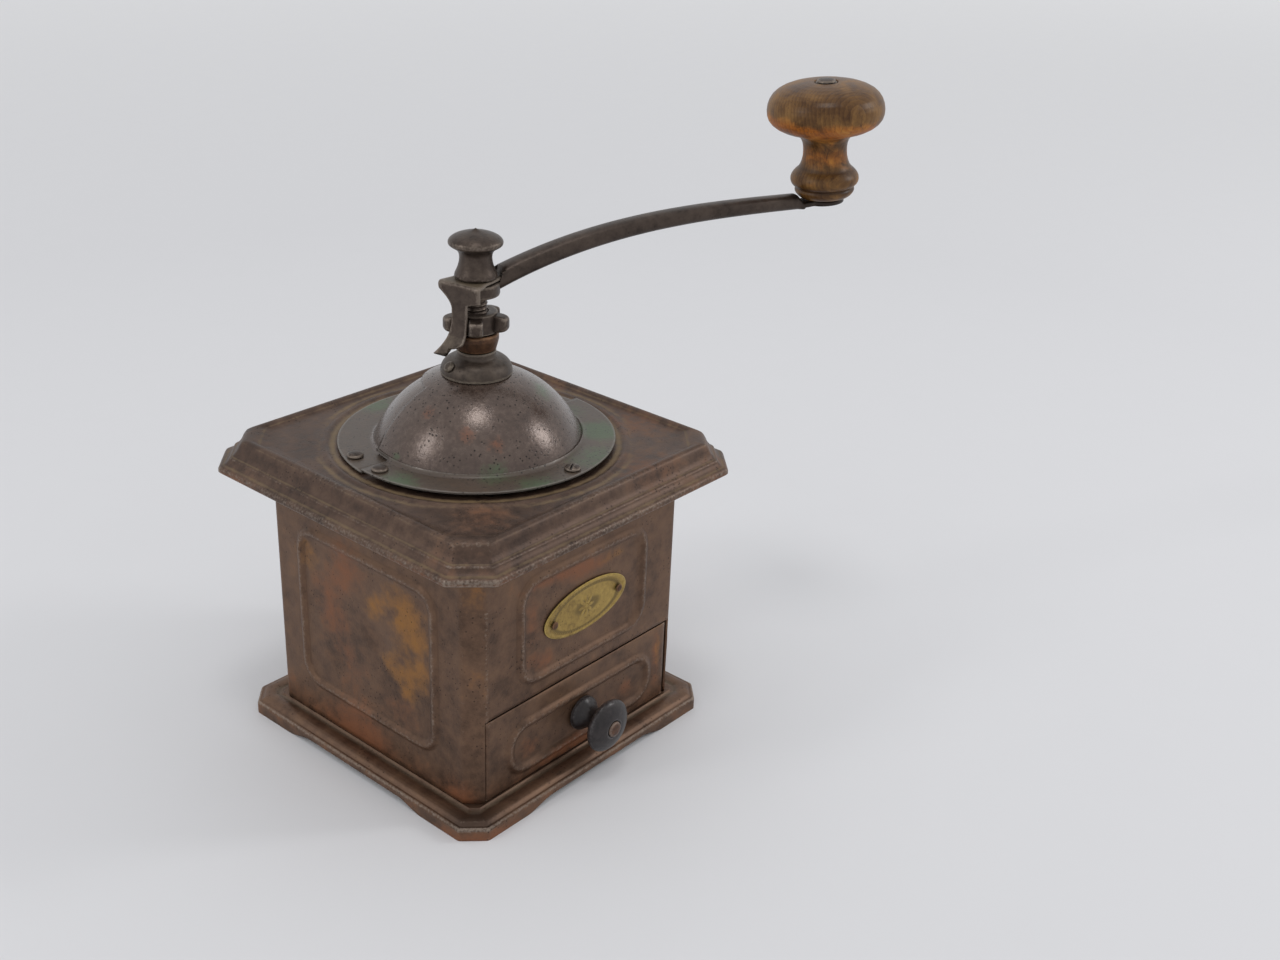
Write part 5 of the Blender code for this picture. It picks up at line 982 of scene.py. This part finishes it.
left_edge = 7.2 - 4.6 * np.sin(hollow * np.pi / 2) + 1.5 * tail ** 2
right_edge = 7.0 - 4.4 * step + 0.8 * tail - 6.6 * unit(tail * 3 - 2) ** 2
across_leaf = np.minimum(path[:, 2:3] / 2, np.where(corner[:, 0] < 0, left_edge, right_edge)) * corner[:, 0]
through = corner[:, 1][None] * GAUGE / 2
twist = 1.6 * (path[:, 3:4] / DRIFT) ** 2 * (across_leaf > 0)
strip = np.stack([path[:, :1] + normal[:, :1] * through, across_leaf - path[:, 3:4],
                  path[:, 1:2] + normal[:, 1:] * through + twist], -1)
skin("spring_leaf", [placed(capped(strip), LEAF_HEADING)], "spindle", forged_steel,
     "latch_leaf", sharp=50,
     marks=lambda p: (0, 0, 0.9 * (p[:, 2] > LEAF_MIDDLE + 0.15) + 0.5 * (p[:, 2] < 127)))

# %% Top nut
NUT_LOW, NUT_TALL = 142.4, 14.0
nut = [(0, 0), (5.6, 0.0), (5.95, 0.0), (6.1, 0.03), (5.98, 0.08), (5.5, 0.15), (5.0, 0.24), (4.68, 0.34),
       (4.6, 0.42), (4.78, 0.5), (5.4, 0.57), (6.5, 0.62), (7.55, 0.665), (7.8, 0.71), (7.6, 0.77),
       (6.4, 0.84), (4.0, 0.905), (1.5, 0.945), (0.7, 0.97), (0, 1)]
nut = np.array([(r, NUT_LOW + NUT_TALL * share) for r, share in nut])
skin("finial_nut", [lathe(fine(nut, 0.3, soft=2), 72)], "spindle", forged_steel,
     "top_nut")

# %% [markdown]
# ## The knob
#
# The knob was turned on a lathe and stays round. It leans a little, because it stands square on
# the crank's leaning tab. Old varnish survives in the hollows, while the cap's lower half and
# the waist, where a hand holds it, are rubbed to bare wood.

# %% Knob, pin and washer
SEAT, TALL, CAP, WAIST, BEAD = 1.2, 35.0, 17.88, 6.6, 10.5
outline = [(2.3, 0), (BEAD * 0.70, 0.0), (BEAD * 0.80, 0.02), (BEAD * 0.87, 0.05), (BEAD * 0.87, 0.072),
           (BEAD * 0.82, 0.085), (BEAD * 0.87, 0.098), (BEAD * 0.95, 0.115), (BEAD, 0.145),
           (BEAD * 0.99, 0.185), (BEAD * 0.90, 0.225), (WAIST * 1.18, 0.265), (WAIST * 1.03, 0.34),
           (WAIST, 0.42), (WAIST * 1.05, 0.49), (WAIST * 1.22, 0.54), (CAP * 0.60, 0.572),
           (CAP * 0.82, 0.612), (CAP * 0.955, 0.668), (CAP, 0.740), (CAP * 0.975, 0.830),
           (CAP * 0.88, 0.905), (CAP * 0.71, 0.955), (CAP * 0.47, 0.986), (3.9, 0.998), (3.5, 0.990),
           (3.5, 0.965), (2.3, 0.965), (2.3, 0)]
outline = np.array([(r, SEAT + TALL * share) for r, share in outline])
knob = lathe(fine(outline, 0.35, soft=1), 120)
ON_KNOB = dict(heading=CRANK_HEADING, lean=KNOB_LEAN, origin=KNOB_FOOT)


def knob_marks(p):
    """Bare wood on the cap's lower half and the waist, grime in the grooves."""
    up = (p[:, 2] - TAB_HEIGHT - SEAT) / TALL
    bare = 0.9 * bell(up, 0.63, 0.09) + 0.55 * bell(up, 0.38, 0.14) + 0.25 * bell(up, 0.15, 0.05)
    return bare, 0, bell(up, 0.085, 0.02) + 0.7 * bell(up, 0.25, 0.02)


skin("knob_turned", [placed(knob, **ON_KNOB)], "handle", beech, "handle_knob",
     marks=knob_marks, sharp=60)
washer_low = SEAT + TALL * 0.965 + 0.3
ring = fine([(2.3, washer_low), (3.2, washer_low), (3.2, washer_low + 0.6), (2.3, washer_low + 0.6),
             (2.3, washer_low)], 0.3)
skin("knob_washer", [placed(lathe(ring, 48), **ON_KNOB)], "spindle", forged_steel,
     "handle_washer")
head = washer_low + 0.9
pin = fine([(0, -1.5), (2.2, -1.5), (2.7, -1.25), (2.8, -0.95), (2.0, -0.95), (2.0, head), (2.9, head),
            (2.75, head + 0.36), (2.1, head + 0.62), (1.0, head + 0.76), (0, head + 0.8)], 0.3)
skin("knob_pin", [placed(lathe(pin, 48), **ON_KNOB)], "spindle", forged_steel,
     "handle_pin")

# %% [markdown]
# ## The drawer's front
#
# The drawer's front is a small pressed plate with the same bead as the walls. Its edges roll in
# a little, and it isn't quite flat, which shows in the way the light lies on it.

# %% Drawer front
FRONT, LEFT, RIGHT, LOW, HIGH, MIDDLE = -44.2, -39.3, 38.3, 5.7, 32.1, 17.5
BORDER, PANEL_HALF, PANEL_TALL = 0.3, 30.0, 7.5
x, z = np.meshgrid(*(
    np.unique(np.append(crowded(low, high, beads, 2.6, 0.4, wide), [low + BORDER, high - BORDER]))
    for low, high, beads, wide in ((LEFT, RIGHT, (-30, -24, 24, 30), 1.3),
                                   (LOW, HIGH, (10, 16, 19, 25), 0.9))))
inward = np.minimum(np.minimum(x - LEFT, RIGHT - x), np.minimum(z - LOW, HIGH - z))
uneven = 0.06 * (1 + waves(np.stack([x, 0 * x, z], -1), 30, 9))
y = FRONT + 0.35 * unit(1 - inward / 0.8) ** 2 + uneven
y -= hump(x, z, PANEL_HALF, MIDDLE - PANEL_TALL, MIDDLE + PANEL_TALL)
skin("drawer_face", [(np.stack([x, y, z], -1), False, None)], "drawer", case_steel,
     "drawer_front", marks=case_marks, wall=1.0)

# %% [markdown]
# ## The drawer's pull
#
# The pull is turned like a mushroom, japanned black, and held by a screw whose head has rusted.
# Both are lathe shapes whose axis comes out of the front.


# %% Drawer pull
def on_front(points, x, z):
    """Points turned so that their Z axis comes out of the front wall, at a place on it."""
    return np.stack([points[..., 0] + x, FRONT - points[..., 2], points[..., 1] + z], -1)


PULL, FOOT_PULL, NECK_PULL, DISC = 13.5, 5.4, 3.0, 8.3
shape = [(1.7, 0), (FOOT_PULL, 0.0), (FOOT_PULL, 0.07), (FOOT_PULL * 0.95, 0.11), (FOOT_PULL * 0.80, 0.17),
         (NECK_PULL * 1.12, 0.28), (NECK_PULL, 0.42), (NECK_PULL * 1.12, 0.54), (DISC * 0.62, 0.61),
         (DISC * 0.92, 0.66), (DISC, 0.73), (DISC * 0.97, 0.81), (DISC * 0.80, 0.89), (DISC * 0.52, 0.95),
         (DISC * 0.36, 0.965), (2.7, 0.955), (2.7, 0.93), (1.7, 0.93), (1.7, 0)]
shape = np.array([(r, 0.3 + PULL * share) for r, share in shape])
skin("pull_turned", [on_front(lathe(fine(shape, 0.3, soft=1), 72), 0, MIDDLE)], "drawer", japanned,
     "drawer_pull", marks=lambda p: (0.5 * bell(p[:, 1], -54.4, 0.7),))
screw = head_rows(2.4, 1.1, 1.4, -5.3, 0.3 + PULL * 0.93 + 0.3)
skin("pull_screw_head", [on_front(lathe(screw, 40), 0, MIDDLE)], "drawer", screw_steel,
     "pull_screw")

# %% [markdown]
# ## The oval plate
#
# A thin oval of brass is pinned to the front. On such mills it carries a maker's sign. Here it
# is left free of any sign: a raised rim, a ring of small beads as a press leaves them, and a
# plain rosette of eight petals. Relief is a height that depends on the place on the oval.

# %% Label plate and its pins
WIDE, HIGH_PLATE, LABEL_AT, LABEL_TILT = 17.25, 7.6, (0.2, 54.1), np.radians(3.0)
PLATE_BACK, PLATE_FACE, BEADS, PETALS, PIN_OUT = 0.31, 0.60, 72, 8, 13.6
share = np.concatenate([[1.0, 1.0], np.linspace(0.995, 0.02, 62), [0.0]])
turn = around(288)
flat_x, flat_y = share[:, None] * WIDE * np.cos(turn), share[:, None] * HIGH_PLATE * np.sin(turn)
inward = (1 - share[:, None]) * HIGH_PLATE * (1 + 0.25 * np.abs(np.cos(turn)))
relief = 0.17 * bell(inward, 0.55, 0.32)
relief += 0.10 * bell(inward, 1.45, 0.22) * (0.5 + 0.5 * np.cos(BEADS * turn))
away = np.hypot(flat_x, flat_y)
petals = np.abs(np.cos(PETALS / 2 * np.arctan2(flat_y, flat_x)))
relief += 0.13 * unit(1 - (away / (1.2 + 2.6 * petals)) ** 4) * (away > 0.8)
relief += 0.16 * unit(1 - (away / 0.9) ** 4)
height = PLATE_FACE + relief
height[0], height[1] = PLATE_BACK, PLATE_FACE - 0.05
c, s = np.cos(LABEL_TILT), np.sin(LABEL_TILT)
oval = np.stack([flat_x * c - flat_y * s, flat_x * s + flat_y * c, height], -1)
back = polar(0, turn, PLATE_BACK)[None]
oval = on_front(np.concatenate([back, oval]), *LABEL_AT)


def label_marks(p):
    """Dirt between the beads and round the rosette, wherever the relief lies deep."""
    deep = unit((0.72 - (FRONT - p[:, 1])) / 0.08)
    out = np.hypot((p[:, 0] - LABEL_AT[0]) / WIDE, (p[:, 2] - LABEL_AT[1] - 0.052 * p[:, 0]) / HIGH_PLATE)
    near = bell(out, 0.81, 0.07) + np.exp(-(out / 0.34) ** 4)
    return 0.25 * (p[:, 0] < -12), 0.95 * deep * unit(near)


skin("oval_plate", [oval], "case", old_brass, "label_plate", marks=label_marks, sharp=60)
for way, name in ((-PIN_OUT, "left"), (PIN_OUT, "right")):
    grid = lathe(head_rows(1.2, 0.5, 0.48, 0.3, 1.1, 0.15), 28)
    skin(f"plate_pin_{name}", [on_front(grid, LABEL_AT[0] + way * c, LABEL_AT[1] + way * s)], "case",
         copper_alloy, f"label_pin_{name}")

# %% [markdown]
# ## What stays as it is
#
# The working parts inside keep their solids: the funnel, the burrs, the bridge with its screws,
# the drawer's box and rails. They only get their finish, so that a look through the open door
# or into the drawer shows iron and tinplate.

# %% Finishes for the pieces inside
KEPT = {"tinplate": (tinplate, ["hopper_bowl", "drawer_box", "drawer_rail_left", "drawer_rail_right"]),
        "burr_iron": (cast_iron, ["outer_burr", "inner_burr", "lower_bridge"]),
        "forged_steel": (forged_steel, ["burr_screw_1", "burr_screw_2", "bridge_screw_1",
                                        "bridge_screw_2", "cross_pin", "pull_nut"]),
        "copper_alloy": (copper_alloy, ["bearing_bush"])}
for slot_name, (finish, names) in KEPT.items():
    for node_name in names:
        for material_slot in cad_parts[node_name].material_slots:
            material_slot.material = finish
    print(slot_name, "on", ", ".join(names))

# %% [markdown]
# ## The floor
#
# The mill stands on a sheet of pale grey paper, which gets paler far away so that it meets the
# sky without a hard line. Right round the mill it is a touch lighter too, which makes up for
# the light that the mill keeps off it.

# %% Floor
floor_mesh = bpy.data.meshes.new("paper")
floor_mesh.from_pydata([(-3, -3, 0), (3, -3, 0), (3, 3, 0), (-3, 3, 0)], [], [(0, 1, 2, 3)])
paper, node, shader = started("pale_paper")
on_paper = node("TexCoord", out="Object")
grain = node("TexNoise", {"Vector": on_paper, "Scale": 60.0, "Detail": 6.0})
away = node("VectorMath", {"Vector": on_paper}, "Value", operation="LENGTH")
shade = node("ValToRGB", [node("MapRange", [away, 0.0, 2.4])],
             stops=[(0.0, "#DFDFE1"), (0.075, "#D8D8DA"), (0.22, "#D8D8DA"), (1.0, "#FAFAFA")])
shade = layered(node, shade, [(grain, 0.06, "#C4C4C6")])
finished(paper, shader, Base_Color=shade, Roughness=0.85)
floor_mesh.materials.append(paper)
floor = bpy.data.objects.new("paper", floor_mesh)
bpy.context.scene.collection.objects.link(floor)
print("floor 6 m wide")

# %% [markdown]
# ## The light
#
# Soft light comes from all round. Three soft lamps leave the three dull highlights on the dome:
# a tall one on the left, a round one overhead and a tall one on the right. Their places follow
# from the mirror law at those highlights. They are weak next to the sky, so the shadow stays
# faint and colours come out about as written.

# %% Light
world = bpy.data.worlds.new("studio")
bpy.context.scene.world = world
world.use_nodes = True
sky = world.node_tree.nodes["Background"]
sky.inputs["Color"].default_value = tone("#F4F5F7")
sky.inputs["Strength"].default_value = 0.855
AIM = SPINDLE / 1000 + np.array([0, 0, 0.08])
LAMPS = (("lamp_left", (-0.75, 0.27, 0.60), 1.1, 0.16, 0.42, 1.3),
         ("lamp_top", (-0.10, -0.13, 0.99), 1.2, 0.26, 0.26, 1.6),
         ("lamp_right", (0.63, -0.55, 0.50), 1.2, 0.18, 0.42, 2.0))
for name, way, distance, wide, tall, power in LAMPS:
    lamp = bpy.data.lights.new(name, "AREA")
    lamp.shape, lamp.size, lamp.size_y, lamp.energy = "ELLIPSE", wide, tall, power
    holder = bpy.data.objects.new(name, lamp)
    way = np.array(way) / np.linalg.norm(way)
    side_way = np.cross([0, 0, 1], way)
    side_way /= np.linalg.norm(side_way)
    place = np.eye(4)
    place[:3, 0], place[:3, 1], place[:3, 2] = side_way, np.cross(way, side_way), way
    place[:3, 3] = AIM + way * distance
    holder.matrix_world = place.T.tolist()
    bpy.context.scene.collection.objects.link(holder)
    print(name, "at", (AIM + way * distance).round(2))
bpy.context.scene.view_settings.view_transform = "Standard"
